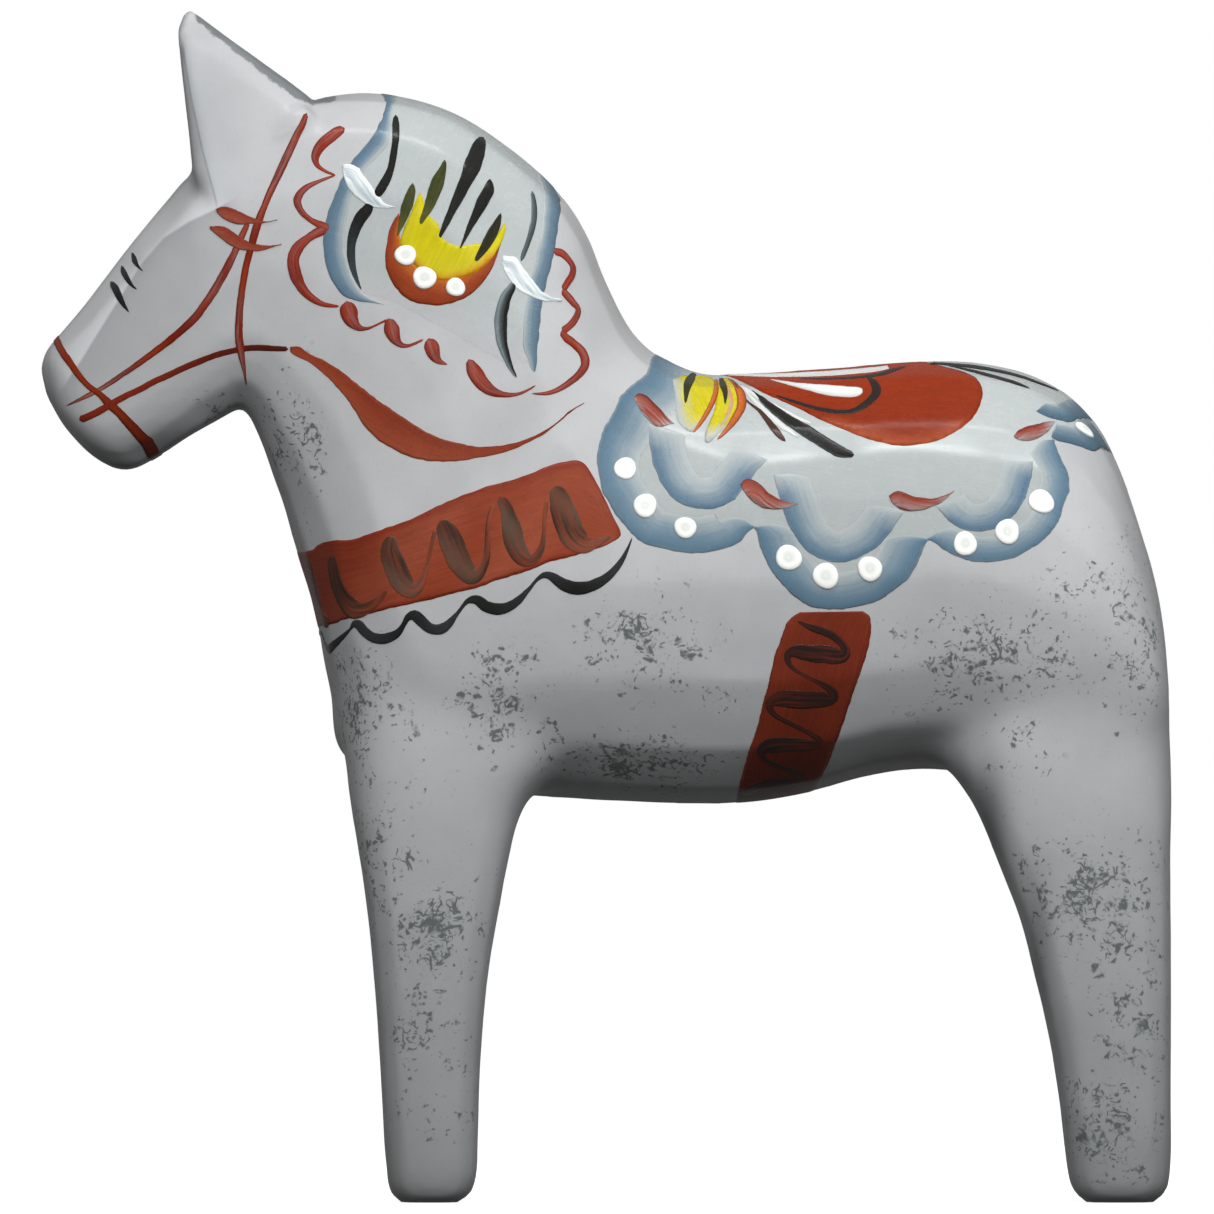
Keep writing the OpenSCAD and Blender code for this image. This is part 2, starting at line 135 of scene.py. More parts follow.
def ring_points(i, ang):
    ang = np.mod(ang, 2 * np.pi)
    ca, sa = np.cos(ang), np.sin(ang)
    e = np.where(ca >= 0, e_top[i], e_low[i])
    p = np.sign(ca) * np.abs(ca) ** (2 / e)
    y = np.sign(sa) * np.abs(sa) ** (2 / e)
    head = float(np.clip((11.0 - ks[i]) / 4.0, 0, 1))
    if head > 0:  # the head keeps a flat nose, a flat cheek and the planed edges between them
        fold = np.minimum(ang, 2 * np.pi - ang)
        p = p * (1 - head) + np.interp(fold, HEAD_A, HEAD_P) * head
        y = y * (1 - head) + np.sign(sa) * np.interp(fold, HEAD_A, HEAD_Y) * head
    c = MID[i][None, :] + DIR[i][None, :] * (HALF_L[i] * p)[:, None]
    return np.stack([c[:, 0], y * HALF_W[i], c[:, 1]], axis=1)


def faceted(points_at, facets, n, share):
    """A ring that keeps the flats a knife leaves: share 1 is all flats, 0 is all curve."""
    ang = np.linspace(0, 2 * np.pi, n, endpoint=False)
    k = ang / (2 * np.pi) * facets
    a0 = np.floor(k)
    f = (k - a0)[:, None]
    step = 2 * np.pi / facets
    flat = points_at(a0 * step) * (1 - f) + points_at((a0 + 1) * step) * f
    return flat * share + points_at(ang) * (1 - share)


def loft_mesh(rings):
    n = len(rings[0])
    v = np.concatenate(rings)
    f = []
    for j in range(len(rings) - 1):
        for i in range(n):
            a, b = j * n + i, j * n + (i + 1) % n
            f.append((a, b, b + n, a + n))
    f.append(tuple(range(n - 1, -1, -1)))
    f.append(tuple((len(rings) - 1) * n + i for i in range(n)))
    return v, f


FRONT_LEG = [
    [1201, 405, 456, 57, 132], [1198, 398, 463, 52, 138], [1192, 392, 470, 47, 144], [1183, 388.5, 474.5, 44, 147], [1168, 386.5, 477, 43, 149],
    [1134, 384, 478, 42, 150], [1054, 380, 481, 41, 153], [974, 374, 488, 39, 156],
    [914, 368, 498, 35, 158], [854, 359, 510, 29, 159], [820, 353, 519, 20, 160],
    [792, 348, 533, 4, 159], [760, 344, 556, -8, 157], [700, 350, 560, -8, 150],
    [640, 372, 540, -8, 126],
]
HIND_LEG = [
    [1201, 1090, 1149, 56, 131], [1198, 1082, 1156, 51, 137], [1192, 1075, 1163, 46, 143], [1183, 1071, 1167, 44, 146], [1168, 1068, 1169, 43, 148],
    [1134, 1064, 1170, 42, 151], [1054, 1053, 1170, 41, 154], [974, 1035, 1170, 39, 157],
    [914, 1019, 1170, 35, 159], [854, 995, 1170, 29, 160], [820, 980, 1171, 20, 160],
    [794, 967, 1171, 4, 159], [760, 946, 1171, -8, 157], [690, 980, 1168, -8, 150],
    [620, 1010, 1158, -8, 124],
]


def leg_rings(table, side):
    t = catmull(np.array(table, float), 5)
    out = []
    for r in t:
        yi, yo = r[3] * S, r[4] * S
        u0, u1 = X(r[1]), X(r[2])

        def at(a, yi=yi, yo=yo, u0=u0, u1=u1, z=Z(r[0])):
            ca, sa = np.cos(-a), np.sin(-a)
            e = 2.9
            return np.stack([
                (u0 + u1) / 2 + (u1 - u0) / 2 * np.sign(ca) * np.abs(ca) ** (2 / e),
                side * (yi + yo) / 2 + (yo - yi) / 2 * np.sign(sa) * np.abs(sa) ** (2 / e),
                np.full_like(ca, z)], axis=1)
        out.append(faceted(at, 12, 48, 0.55))
    return out


def hull_mesh(spheres):
    bm = bmesh.new()
    for (c, r) in spheres:
        for i in range(7):
            th = math.pi * i / 6
            for j in range(12):
                ph = math.pi * j / 6
                bm.verts.new((c[0] + r * math.sin(th) * math.cos(ph), c[1] + r * math.sin(th) * math.sin(ph), c[2] + r * math.cos(th)))
    bmesh.ops.remove_doubles(bm, verts=bm.verts, dist=1e-6)
    bmesh.ops.convex_hull(bm, input=bm.verts)
    bmesh.ops.delete(bm, geom=[v for v in bm.verts if not v.link_faces], context="VERTS")
    bm.verts.index_update()
    v = np.array([x.co[:] for x in bm.verts])
    f = [tuple(x.index for x in fc.verts) for fc in bm.faces]
    bm.free()
    return v, f


parts = [loft_mesh([faceted(lambda a, i=i: ring_points(i, a), 16, 96, 0.7) for i in range(len(rows))])]
for side in (-1, 1):
    for table in (FRONT_LEG, HIND_LEG):
        parts.append(loft_mesh(leg_rings(table, side)))
    ear = [[189, 14, 60], [183, 30, 40], [182, 34, 71], [188, 44, 76], [197, 174, 30], [198, 176, 91], [216, 200, 103], [307, 99, 24], [305, 100, 66], [288, 114, 84], [262, 175, 99], [200, 22, 40]]
    parts.append(hull_mesh([((X(p[0]), side * p[2] * S, Z(p[1])), 3.5 * S) for p in ear]))
    parts.append(hull_mesh([((X(p[0]), side * y * S, Z(p[1])), 16 * S) for p in ([212, 190], [300, 122], [262, 230]) for y in (20, 80)]))
    for root in ([[400, 740, 112], [480, 690, 120], [470, 790, 112]], [[1060, 700, 120], [1115, 640, 112], [1110, 800, 112]]):
        parts.append(hull_mesh([((X(p[0]), side * p[2] * S, Z(p[1])), 36 * S) for p in root]))

verts, faces, base = [], [], 0
for v, f in parts:
    verts.append(v)
    faces += [tuple(i + base for i in q) for q in f]
    base += len(v)
mesh = bpy.data.meshes.new("carving_raw")
mesh.from_pydata(np.concatenate(verts).tolist(), [], faces)
bm = bmesh.new()
bm.from_mesh(mesh)
bmesh.ops.triangulate(bm, faces=[f for f in bm.faces if len(f.verts) > 4])
bmesh.ops.recalc_face_normals(bm, faces=bm.faces)
bm.to_mesh(mesh)
bm.free()
raw = bpy.data.objects.new("carving_raw", mesh)
bpy.context.scene.collection.objects.link(raw)
mod = raw.modifiers.new("remesh", "REMESH")
mod.mode = "VOXEL"
mod.voxel_size = 0.0008
mod.adaptivity = 0.0
bpy.context.view_layer.update()
body_mesh = bpy.data.meshes.new_from_object(raw.evaluated_get(bpy.context.evaluated_depsgraph_get()))
bpy.data.objects.remove(raw)

nv = len(body_mesh.vertices)
co = np.zeros(nv * 3)
body_mesh.vertices.foreach_get("co", co)
co = co.reshape(-1, 3)
ne = len(body_mesh.edges)
ed = np.zeros(ne * 2, int)
body_mesh.edges.foreach_get("vertices", ed)
ed = ed.reshape(-1, 2)
deg = np.bincount(ed.ravel(), minlength=nv).astype(float)


def neighbours_mean(p):
    out = np.zeros_like(p)
    for k in range(3):
        out[:, k] = np.bincount(ed[:, 0], p[ed[:, 1], k], nv) + np.bincount(ed[:, 1], p[ed[:, 0], k], nv)
    return out / deg[:, None]


def blob(p, u, v, ru, rv):
    du = (p[:, 0] / S + 606 - u) / ru
    dv = (1201 - p[:, 2] / S - v) / rv
    return np.exp(-(du * du + dv * dv))


# soften the roots of the legs and ears as rasp and sandpaper do
root_w = np.clip(blob(co, 342, 752, 30, 42) * 0.7 + blob(co, 440, 745, 130, 75) + blob(co, 1070, 730, 120, 85) + blob(co, 520, 800, 40, 30) * 0.6 + blob(co, 960, 790, 50, 40) * 0.6, 0, 1)
root_w *= np.clip((np.abs(co[:, 1]) - 0.002) / 0.006, 0.25, 1)
for _ in range(70):
    co += (neighbours_mean(co) - co) * (0.5 * root_w)[:, None]
ear_w = np.clip(blob(co, 262, 190, 60, 26), 0, 1) * 0.9
for _ in range(14):
    co += (neighbours_mean(co) - co) * (0.5 * ear_w)[:, None]
for _ in range(3):
    co += (neighbours_mean(co) - co) * 0.5
    co -= (neighbours_mean(co) - co) * 0.52
# the knife leaves the flats a little uneven
wave = np.array([fractal(Vector(p) * 75) * 0.6 + fractal(Vector(p) * 190 + Vector((3, 5, 7))) * 0.4 for p in co])
nrm = np.zeros_like(co)
quads = np.array([q for q in (tuple(p.vertices) for p in body_mesh.polygons) if len(q) == 4])
cr = np.cross(co[quads[:, 2]] - co[quads[:, 0]], co[quads[:, 3]] - co[quads[:, 1]])
for k in range(4):
    np.add.at(nrm, quads[:, k], cr)
nrm /= np.linalg.norm(nrm, axis=1)[:, None] + 1e-20
co += nrm * (wave * 0.00016 * np.clip(co[:, 2] / 0.004, 0, 1))[:, None]
co[:, 2] = np.maximum(co[:, 2], 0)
low = co[:, 2] < 0.0004
co[low, 2] *= 0.2
body_mesh.vertices.foreach_set("co", co.ravel())
body_mesh.update()
body = bpy.data.objects.new("carved_horse", body_mesh)
bpy.context.scene.collection.objects.link(body)
body_mesh.polygons.foreach_set("use_smooth", [True] * len(body_mesh.polygons))

vn = np.zeros(nv * 3)
body_mesh.vertices.foreach_get("normal", vn)
vn = vn.reshape(-1, 3)
polys = [tuple(p.vertices) for p in body_mesh.polygons]
poly_n = np.array([vn[list(p)].mean(0) for p in polys])
poly_n /= np.linalg.norm(poly_n, axis=1)[:, None]
tree = BVHTree.FromPolygons([Vector(c) for c in co], polys)


def cast(orig, dirs, fallback=None):
    """First hit of each ray on the wood: places and smooth normals."""
    n = len(orig)
    P = np.zeros((n, 3))
    N = np.zeros((n, 3))
    for i in range(n):
        hit, _, idx, _ = tree.ray_cast(Vector(orig[i]), Vector(dirs[i]))
        if hit is None:
            hit, _, idx, _ = tree.find_nearest(Vector(orig[i] if fallback is None else fallback[i]))
        P[i] = hit
        N[i] = poly_n[idx]
    return P, N


# ------------------------------------------------------------------ charts
# A chart turns drawing points into two surface coordinates in metres, and back into places on the wood.
# b > 0 is the left side (-Y) and b < 0 the right side.
def left_y(u, v):
    """|y| of the left side at drawing points, 0 beyond the outline."""
    u, v = np.atleast_1d(u).astype(float), np.atleast_1d(v).astype(float)
    out = np.zeros(len(u))
    for i in range(len(u)):
        hit, _, _, _ = tree.ray_cast(Vector((float(X(u[i])), -0.06, float(Z(v[i])))), Vector((0, 1, 0)))
        out[i] = max(-hit[1], 0) if hit is not None and hit[1] < 0.004 else 0.0
    return out


class Side:
    """Straight across: a = x, b = height, one side at a time."""
    name = "side"

    def to2(self, u, v):
        return np.stack([X(u), Z(v)], axis=1)

    def to3(self, ab, side=1):
        n = len(ab)
        o = np.stack([ab[:, 0], np.full(n, -0.06 * side), ab[:, 1]], axis=1)
        d = np.tile([0, 1.0 * side, 0], (n, 1))
        return cast(o, d, np.stack([ab[:, 0], np.full(n, -0.012 * side), ab[:, 1]], axis=1))


class Barrel:
    """Round the barrel in planes of constant x, from the spine (b = 0) down the side to the belly."""
    zc, R, reach = 0.088, 0.028, 0.05

    def to2(self, u, v):
        y = left_y(u, v)
        return np.stack([X(u), np.arctan2(y, Z(v) - self.zc) * self.R], axis=1)

    def to3(self, ab, side=1):
        phi = ab[:, 1] / self.R * side
        d = np.stack([np.zeros(len(ab)), -np.sin(phi), np.cos(phi)], axis=1)
        c = np.stack([ab[:, 0], np.zeros(len(ab)), np.full(len(ab), self.zc)], axis=1)
        return cast(c + d * self.reach, -d)


class Chest:
    """Round the chest in level planes, from the middle of the chest (a = 0) back along the side."""
    xc, R = -0.012, 0.026

    def to2(self, u, v):
        y = left_y(u, v)
        return np.stack([np.arctan2(y, self.xc - X(u)) * self.R, Z(v)], axis=1)

    def to3(self, ab, side=1):
        psi = ab[:, 0] / self.R * side
        d = np.stack([-np.cos(psi), -np.sin(psi), np.zeros(len(ab))], axis=1)
        c = np.stack([np.full(len(ab), self.xc), np.zeros(len(ab)), ab[:, 1]], axis=1)
        return cast(c + d * 0.06, -d)


class Sweep:
    """Along the head, neck and trunk: a runs along the middle line, b round the section from the top (b = 0)."""
    R = 0.02

    def __init__(self):
        d = np.linalg.norm(np.diff(MID, axis=0), axis=1)
        self.arc = np.concatenate([[0], np.cumsum(d)])

    def to2(self, u, v):
        P = np.stack([X(u), Z(v)], axis=1)
        y = left_y(u, v)
        out = []
        for p, yy in zip(P, y):
            r = p[None, :] - MID
            cross = r[:, 0] * DIR[:, 1] - r[:, 1] * DIR[:, 0]
            h = (r * DIR).sum(1)
            best, bs, bh = 1e9, 0.0, 0.0
            for k in np.nonzero(cross[:-1] * cross[1:] <= 0)[0]:
                t = cross[k] / (cross[k] - cross[k + 1] + 1e-12)
                hh = h[k] * (1 - t) + h[k + 1] * t
                rel = abs(hh) / HALF_L[k]
                if rel < best:
                    best, bs, bh = rel, self.arc[k] * (1 - t) + self.arc[k + 1] * t, hh
            out.append((bs, math.atan2(yy, bh) * self.R))
        return np.array(out)

    def to3(self, ab, side=1):
        s = ab[:, 0]
        m = np.stack([np.interp(s, self.arc, MID[:, k]) for k in range(2)], axis=1)
        q = np.stack([np.interp(s, self.arc, DIR[:, k]) for k in range(2)], axis=1)
        L = np.maximum(np.interp(s, self.arc, HALF_L), np.interp(s, self.arc, HALF_W)) + 0.006
        phi = ab[:, 1] / self.R * side
        d = np.stack([q[:, 0] * np.cos(phi), -np.sin(phi), q[:, 1] * np.cos(phi)], axis=1)
        c = np.stack([m[:, 0], np.zeros(len(s)), m[:, 1]], axis=1)
        return cast(c + d * L[:, None], -d)


SIDE, BARREL, CHEST, SWEEP = Side(), Barrel(), Chest(), Sweep()


# ------------------------------------------------------------------ paint films
def soften(E):
    """One pass of smoothing along a line, ends kept."""
    E = E.copy()
    E[1:-1] = (E[:-2] + 2 * E[1:-1] + E[2:]) / 4
    return E


class Film:
    """Closed films of dried paint: a top that stands off the wood, a back just inside it and a rim between them."""

    def __init__(self, name, node, slot, material):
        self.name, self.node, self.slot, self.material = name, node, slot, material
        self.v, self.f, self.c, self.b, self.n, self.wall = [], [], [], [], 0, []
        self.seed = (sum(ord(ch) for ch in name) * 7919) % 10007

    def add(self, P, N, h, tris, rim, col, brush):
        """P, N: places and normals; h: height in metres; tris: faces; rim: boundary edges, in the order of the faces."""
        n = len(P)
        top = P + N * h[:, None]
        back = P - N * 0.00022
        self.v += [top, back]
        o = self.n
        self.f += [tuple(i + o for i in t) for t in tris]
        self.f += [tuple(i + o + n for i in reversed(t)) for t in tris]
        w0 = len(self.f)
        self.f += [(b + o, a + o, a + o + n, b + o + n) for a, b in rim]
        self.wall += list(range(w0, len(self.f)))
        if col.shape[1] == 3:
            col = np.concatenate([col, np.ones((len(col), 1))], axis=1)
        self.c += [col, col]
        self.b += [brush, brush]
        self.n += 2 * n

    def grid(self, P, N, h, col, brush):
        """Structured rows and columns; P is rows x cols x 3."""
        R, C = P.shape[:2]
        idx = np.arange(R * C).reshape(R, C)
        quads = np.stack([idx[:-1, :-1], idx[:-1, 1:], idx[1:, 1:], idx[1:, :-1]], axis=-1).reshape(-1, 4)
        rim = list(zip(idx[0, :-1], idx[0, 1:])) + list(zip(idx[:-1, -1], idx[1:, -1])) + list(zip(idx[-1, :0:-1], idx[-1, -2::-1])) + list(zip(idx[:0:-1, 0], idx[-2::-1, 0]))
        du, dv = np.gradient(P, axis=1), np.gradient(P, axis=0)
        turn = (np.cross(du, dv) * N.reshape(R, C, 3)).sum()
        if turn < 0:
            quads = quads[:, ::-1]
            rim = [(b, a) for a, b in rim]
        self.add(P.reshape(-1, 3), N.reshape(-1, 3), h.reshape(-1), quads.tolist(), rim, col.reshape(-1, col.shape[-1]), brush.reshape(-1, 3))

    # a stroke of the brush along [u, v, width] points
    def stroke(self, pts, col, chart=SIDE, h=0.00022, k=6, across=(-0.5, 0.5), rows=7, step=0.00035, sides=(1, -1), edge=0.35, smooth=True,
               rough=0.05, mirror_over=False, seed=0, snap=0.003, lift=0.0, wide=1.0):
        pts = np.asarray(pts, float) * np.array([1, 1, wide])
        early = chart is BARREL and smooth and len(pts) > 2
        if early:
            pts = catmull(pts, k)
        ab = chart.to2(pts[:, 0], pts[:, 1])
        line = np.concatenate([soften(ab) if early else ab, pts[:, 2:3]], axis=1)
        if smooth and len(line) > 2 and not early:
            line = catmull(line, k)
        if mirror_over:  # over the middle line, and down the other side
            half = line
            sign = np.array([1, -1, 1]) if chart is not CHEST else np.array([-1, 1, 1])
            line = np.concatenate([half[::-1], (half * sign)[1:]]) if mirror_over == "start" else np.concatenate([half, (half * sign)[::-1][1:]])
            if mirror_over == "ring":  # all the way round, under the jaw and over the nose
                half[0, 1], half[-1, 1] = 0.0, math.pi * chart.R
                other = half[::-1].copy()
                other[:, 1] = 2 * math.pi * chart.R - other[:, 1]
                line = np.concatenate([half, other[1:]])
            sides = (1,)
        line = resample(line, step)
        for sd in sides:
            P, N = chart.to3(line[:, :2], sd)
            for _ in range(2):
                N[1:-1] = (N[:-2] + N[1:-1] + N[2:]) / 3
            N /= np.linalg.norm(N, axis=1)[:, None]
            T = np.gradient(P, axis=0)
            for _ in range(3):
                T[1:-1] = (T[:-2] + 2 * T[1:-1] + T[2:]) / 4
            B = np.cross(N, T)
            B /= np.linalg.norm(B, axis=1)[:, None] + 1e-12
            w = line[:, 2] * S
            along = np.concatenate([[0], np.cumsum(np.linalg.norm(np.diff(P, axis=0), axis=1))])
            for dist_end, r_end in ((along, w[0] / 2), (along[-1] - along, w[-1] / 2)):
                q_end = np.clip(dist_end / max(r_end, 1e-6), 0, 1)
                w = w * np.maximum(np.sqrt(1 - (1 - q_end) ** 2), 0.12)
            sdn = self.seed + seed * 17 + (3 if sd < 0 else 0)
            w0 = w * (1 + rough * noise1(along, sdn, 0.0011)) + 0.00003 * noise1(along, sdn + 1, 0.0004)
            w1 = w * (1 + rough * noise1(along, sdn + 2, 0.0011)) + 0.00003 * noise1(along, sdn + 3, 0.0004)
            t = np.linspace(across[0], across[1], rows)
            t = np.sign(t) * np.abs(t) if across[0] >= 0 or across[1] <= 0 else 0.5 * np.sin(np.linspace(-1, 1, rows) * math.pi / 2)
            off = np.where(t[:, None] < 0, t[:, None] * w0[None, :], t[:, None] * w1[None, :])
            Q = P[None] + B[None] * off[..., None] * (-sd)
            o = (Q + N[None] * snap).reshape(-1, 3)
            d = np.tile(-N, (rows, 1, 1)).reshape(-1, 3)
            QP, QN = cast(o, d, Q.reshape(-1, 3))
            QP, QN = QP.reshape(rows, -1, 3), QN.reshape(rows, -1, 3)
            c = np.linspace(-1, 1, rows)
            prof = edge + (1 - edge) * np.sqrt(np.clip(1 - c * c, 0, 1))
            thin = np.clip(w / (8 * S), 0.35, 1.0)
            hh = lift + h * prof[:, None] * thin[None, :]
            a01 = along / max(along[-1], 1e-9)
            A = np.tile(a01[None, :], (rows, 1))
            V = np.tile(((t - t[0]) / (t[-1] - t[0]))[:, None], (1, len(along)))
            colours = col(A, V) if callable(col) else np.tile(np.asarray(col, float), (rows, len(along), 1))
            brush = np.stack([np.tile(along[None, :], (rows, 1)), off + sdn * 0.01, np.full(off.shape, sdn * 0.013)], axis=-1)
            self.grid(QP, QN, hh, colours, brush)

    # an area between two drawn edges, rows run from edge a to edge b
    def between(self, ea, eb, col, chart=SIDE, h=0.00015, cols=None, rows=9, sides=(1, -1), edge=0.4, k=5, rough=0.00006, seed=0, taper=None, smooth=True, step=0.0004, lift=0.0):
        ea, eb = np.asarray(ea, float)[:, :2], np.asarray(eb, float)[:, :2]
        if smooth and chart is BARREL:
            A, Bq = soften(chart.to2(*catmull(ea, k).T)), soften(chart.to2(*catmull(eb, k).T))
        else:
            A, Bq = chart.to2(*ea.T), chart.to2(*eb.T)
            if smooth:
                A, Bq = catmull(A, k), catmull(Bq, k)
        la = np.linalg.norm(np.diff(A, axis=0), axis=1).sum()
        lb = np.linalg.norm(np.diff(Bq, axis=0), axis=1).sum()
        n = cols or max(int(max(la, lb) / step), 4)

        def even(P):
            d = np.concatenate([[0], np.cumsum(np.linalg.norm(np.diff(P, axis=0), axis=1))])
            t = np.linspace(0, d[-1], n)
            return np.stack([np.interp(t, d, P[:, 0]), np.interp(t, d, P[:, 1])], axis=1)
        A, Bq = even(A), even(Bq)
        r = np.linspace(0, 1, rows)
        G = A[None] * (1 - r[:, None, None]) + Bq[None] * r[:, None, None]
        for sd in sides:
            sdn = self.seed + seed * 31 + (5 if sd < 0 else 0)
            al = np.linspace(0, max(la, lb), n)
            G2 = G.copy()
            span = (Bq - A) / (np.linalg.norm(Bq - A, axis=1)[:, None] + 1e-9)
            G2 += (span * (rough * noise1(al, sdn, 0.0006))[:, None])[None] * (1 - r)[:, None, None]
            G2 += (span * (rough * noise1(al, sdn + 1, 0.0006))[:, None])[None] * r[:, None, None]
            P, N = chart.to3(G2.reshape(-1, 2), sd)
            P, N = P.reshape(rows, n, 3), N.reshape(rows, n, 3)
            c = np.linspace(-1, 1, rows)
            prof = edge + (1 - edge) * np.sqrt(np.clip(1 - c * c, 0, 1))
            if taper is not None:
                prof = np.interp(r, taper[0], taper[1])
            hh = np.tile((lift + h * prof)[:, None], (1, n))
            Au = np.tile(np.linspace(0, 1, n)[None], (rows, 1))
            Vu = np.tile(r[:, None], (1, n))
            colours = col(Au, Vu) if callable(col) else np.tile(np.asarray(col, float), (rows, n, 1))
            wid = np.linalg.norm(Bq - A, axis=1)
            brush = np.stack([np.tile(al[None], (rows, 1)), Vu * wid[None] + sdn * 0.01, np.full(Vu.shape, sdn * 0.013)], axis=-1)
            self.grid(P, N, hh, colours, brush)

    # any drawn outline, filled; over = True carries it across the middle line to the other side
    def region(self, outline, col, chart=SIDE, h=0.0001, spacing=0.0006, sides=(1, -1), over=False, k=4, edge=0.4, rim_w=0.0006, guide=(1.0, 0.0), rough=0.00005, seed=0, smooth=True, lift=0.0, height=None):
        outline = np.asarray(outline, float)[:, :2]
        if smooth and chart is BARREL:
            E = soften(chart.to2(*catmull(outline if over else np.concatenate([outline, outline[:1]]), k).T))
            if over:
                E[1:-1, 1] = np.maximum(np.abs(E[1:-1, 1]), 0.0003)
        else:
            E = chart.to2(*outline.T)
            if smooth:
                E = catmull(E if over else np.concatenate([E, E[:1]]), k)
        E = resample(E, spacing * 0.8)
        if over:
            m = E.copy()
            axis = 0 if chart is CHEST else 1
            E[0, axis] = E[-1, axis] = 0
            m[:, axis] *= -1
            E = np.concatenate([E, m[::-1][1:-1]])
            sides = (1,)
        else:
            E = E[:-1]
        n = len(E)
        tang = np.roll(E, -1, 0) - np.roll(E, 1, 0)
        nor = np.stack([-tang[:, 1], tang[:, 0]], axis=1)
        nor /= np.linalg.norm(nor, axis=1)[:, None] + 1e-12
        E = E + nor * (rough * noise1(np.arange(n) * spacing, self.seed + seed, 0.0007))[:, None]
        lo, hi = E.min(0), E.max(0)
        gx, gy = np.meshgrid(np.arange(lo[0], hi[0], spacing), np.arange(lo[1], hi[1], spacing * 0.87))
        gx[1::2] += spacing / 2
        G = np.stack([gx.ravel(), gy.ravel()], axis=1)
        dist, inside = to_outline(G, E)
        G = G[inside & (dist > spacing * 0.45)]
        pts = np.concatenate([E, G])
        out = delaunay_2d_cdt([Vector((p[0] * 1000, p[1] * 1000)) for p in pts], [], [list(range(n))], 1, 1e-5)
        V2 = np.array([(p[0], p[1]) for p in out[0]]) / 1000
        tris = [tuple(t) for t in out[2] if len(set(t)) == 3]
        used = sorted(set(i for t in tris for i in t))
        remap = {a: b for b, a in enumerate(used)}
        tris = [tuple(remap[i] for i in t) for t in tris]
        V2 = V2[used]
        # counter-clockwise in the chart
        fixed, count = [], {}
        for t in tris:
            a, b, c = V2[list(t)]
            area = (b[0] - a[0]) * (c[1] - a[1]) - (b[1] - a[1]) * (c[0] - a[0])
            t = t if area > 0 else t[::-1]
            fixed.append(t)
            for q in ((t[0], t[1]), (t[1], t[2]), (t[2], t[0])):
                count[q] = count.get(q, 0) + 1
        rim = [q for q in count if (q[1], q[0]) not in count]
        dist, _ = to_outline(V2, E)
        for sd in sides:
            P, N = chart.to3(V2, sd)
            t0 = np.array(fixed)
            turn = (np.cross(P[t0[:, 1]] - P[t0[:, 0]], P[t0[:, 2]] - P[t0[:, 0]]) * N[t0[:, 0]]).sum()
            f2 = fixed if turn > 0 else [t[::-1] for t in fixed]
            r2 = rim if turn > 0 else [(b, a) for a, b in rim]
            prof = edge + (1 - edge) * np.sqrt(np.clip(1 - (1 - np.clip(dist / rim_w, 0, 1)) ** 2, 0, 1))
            ab = np.abs(V2) if over else V2
            colours = col(ab, dist, P) if callable(col) else np.tile(np.asarray(col, float), (len(V2), 1))
            g = np.array(guide) / np.linalg.norm(guide)
            brush = np.stack([V2 @ g, V2 @ np.array([-g[1], g[0]]) + self.seed * 0.01, np.full(len(V2), self.seed * 0.013 + (0.4 if sd < 0 else 0))], axis=1)
            hh = lift + h * prof if height is None else height(ab, h * prof)
            self.add(P, N, hh, f2, r2, colours, brush)

    # a raised dot
    def dot(self, u, v, r, col, chart=SIDE, h=0.0005, sides=(1, -1), r2=None, turn=0.0, seed=0, lift=0.00005):
        c2 = chart.to2([u], [v])
        for sd in sides:
            P0, N0 = chart.to3(c2, sd)
            n0, p0 = N0[0], P0[0]
            t1 = np.cross([0, 1, 0], n0)
            t1 = t1 if np.linalg.norm(t1) > 0.2 else np.cross([1, 0, 0], n0)
            t1 /= np.linalg.norm(t1)
            t2 = np.cross(n0, t1)
            rr, seg = 9, 40
            th = np.linspace(0, 2 * np.pi, seg, endpoint=False)
            sdn = self.seed + seed * 13 + (2 if sd < 0 else 0)
            wob = 1 + 0.035 * np.cos(2 * th + sdn) + 0.03 * np.cos(3 * th + 2.1 * sdn)
            rad = np.concatenate([[0], np.linspace(0.12, 1, rr)])
            rx, ry = r * S, (r2 or r) * S
            pts = [p0]
            pr = [0.0]
            for q in rad[1:]:
                for k, a in enumerate(th):
                    ca, sa = math.cos(a), math.sin(a)
                    x, y = rx * ca * q * wob[k], ry * sa * q * wob[k]
                    x, y = x * math.cos(turn) - y * math.sin(turn), x * math.sin(turn) + y * math.cos(turn)
                    pts.append(p0 + t1 * x + t2 * y)
                    pr.append(q)
            Q = np.array(pts)
            pr = np.array(pr)
            P, N = cast(Q + n0 * 0.004, np.tile(-n0, (len(Q), 1)), Q)
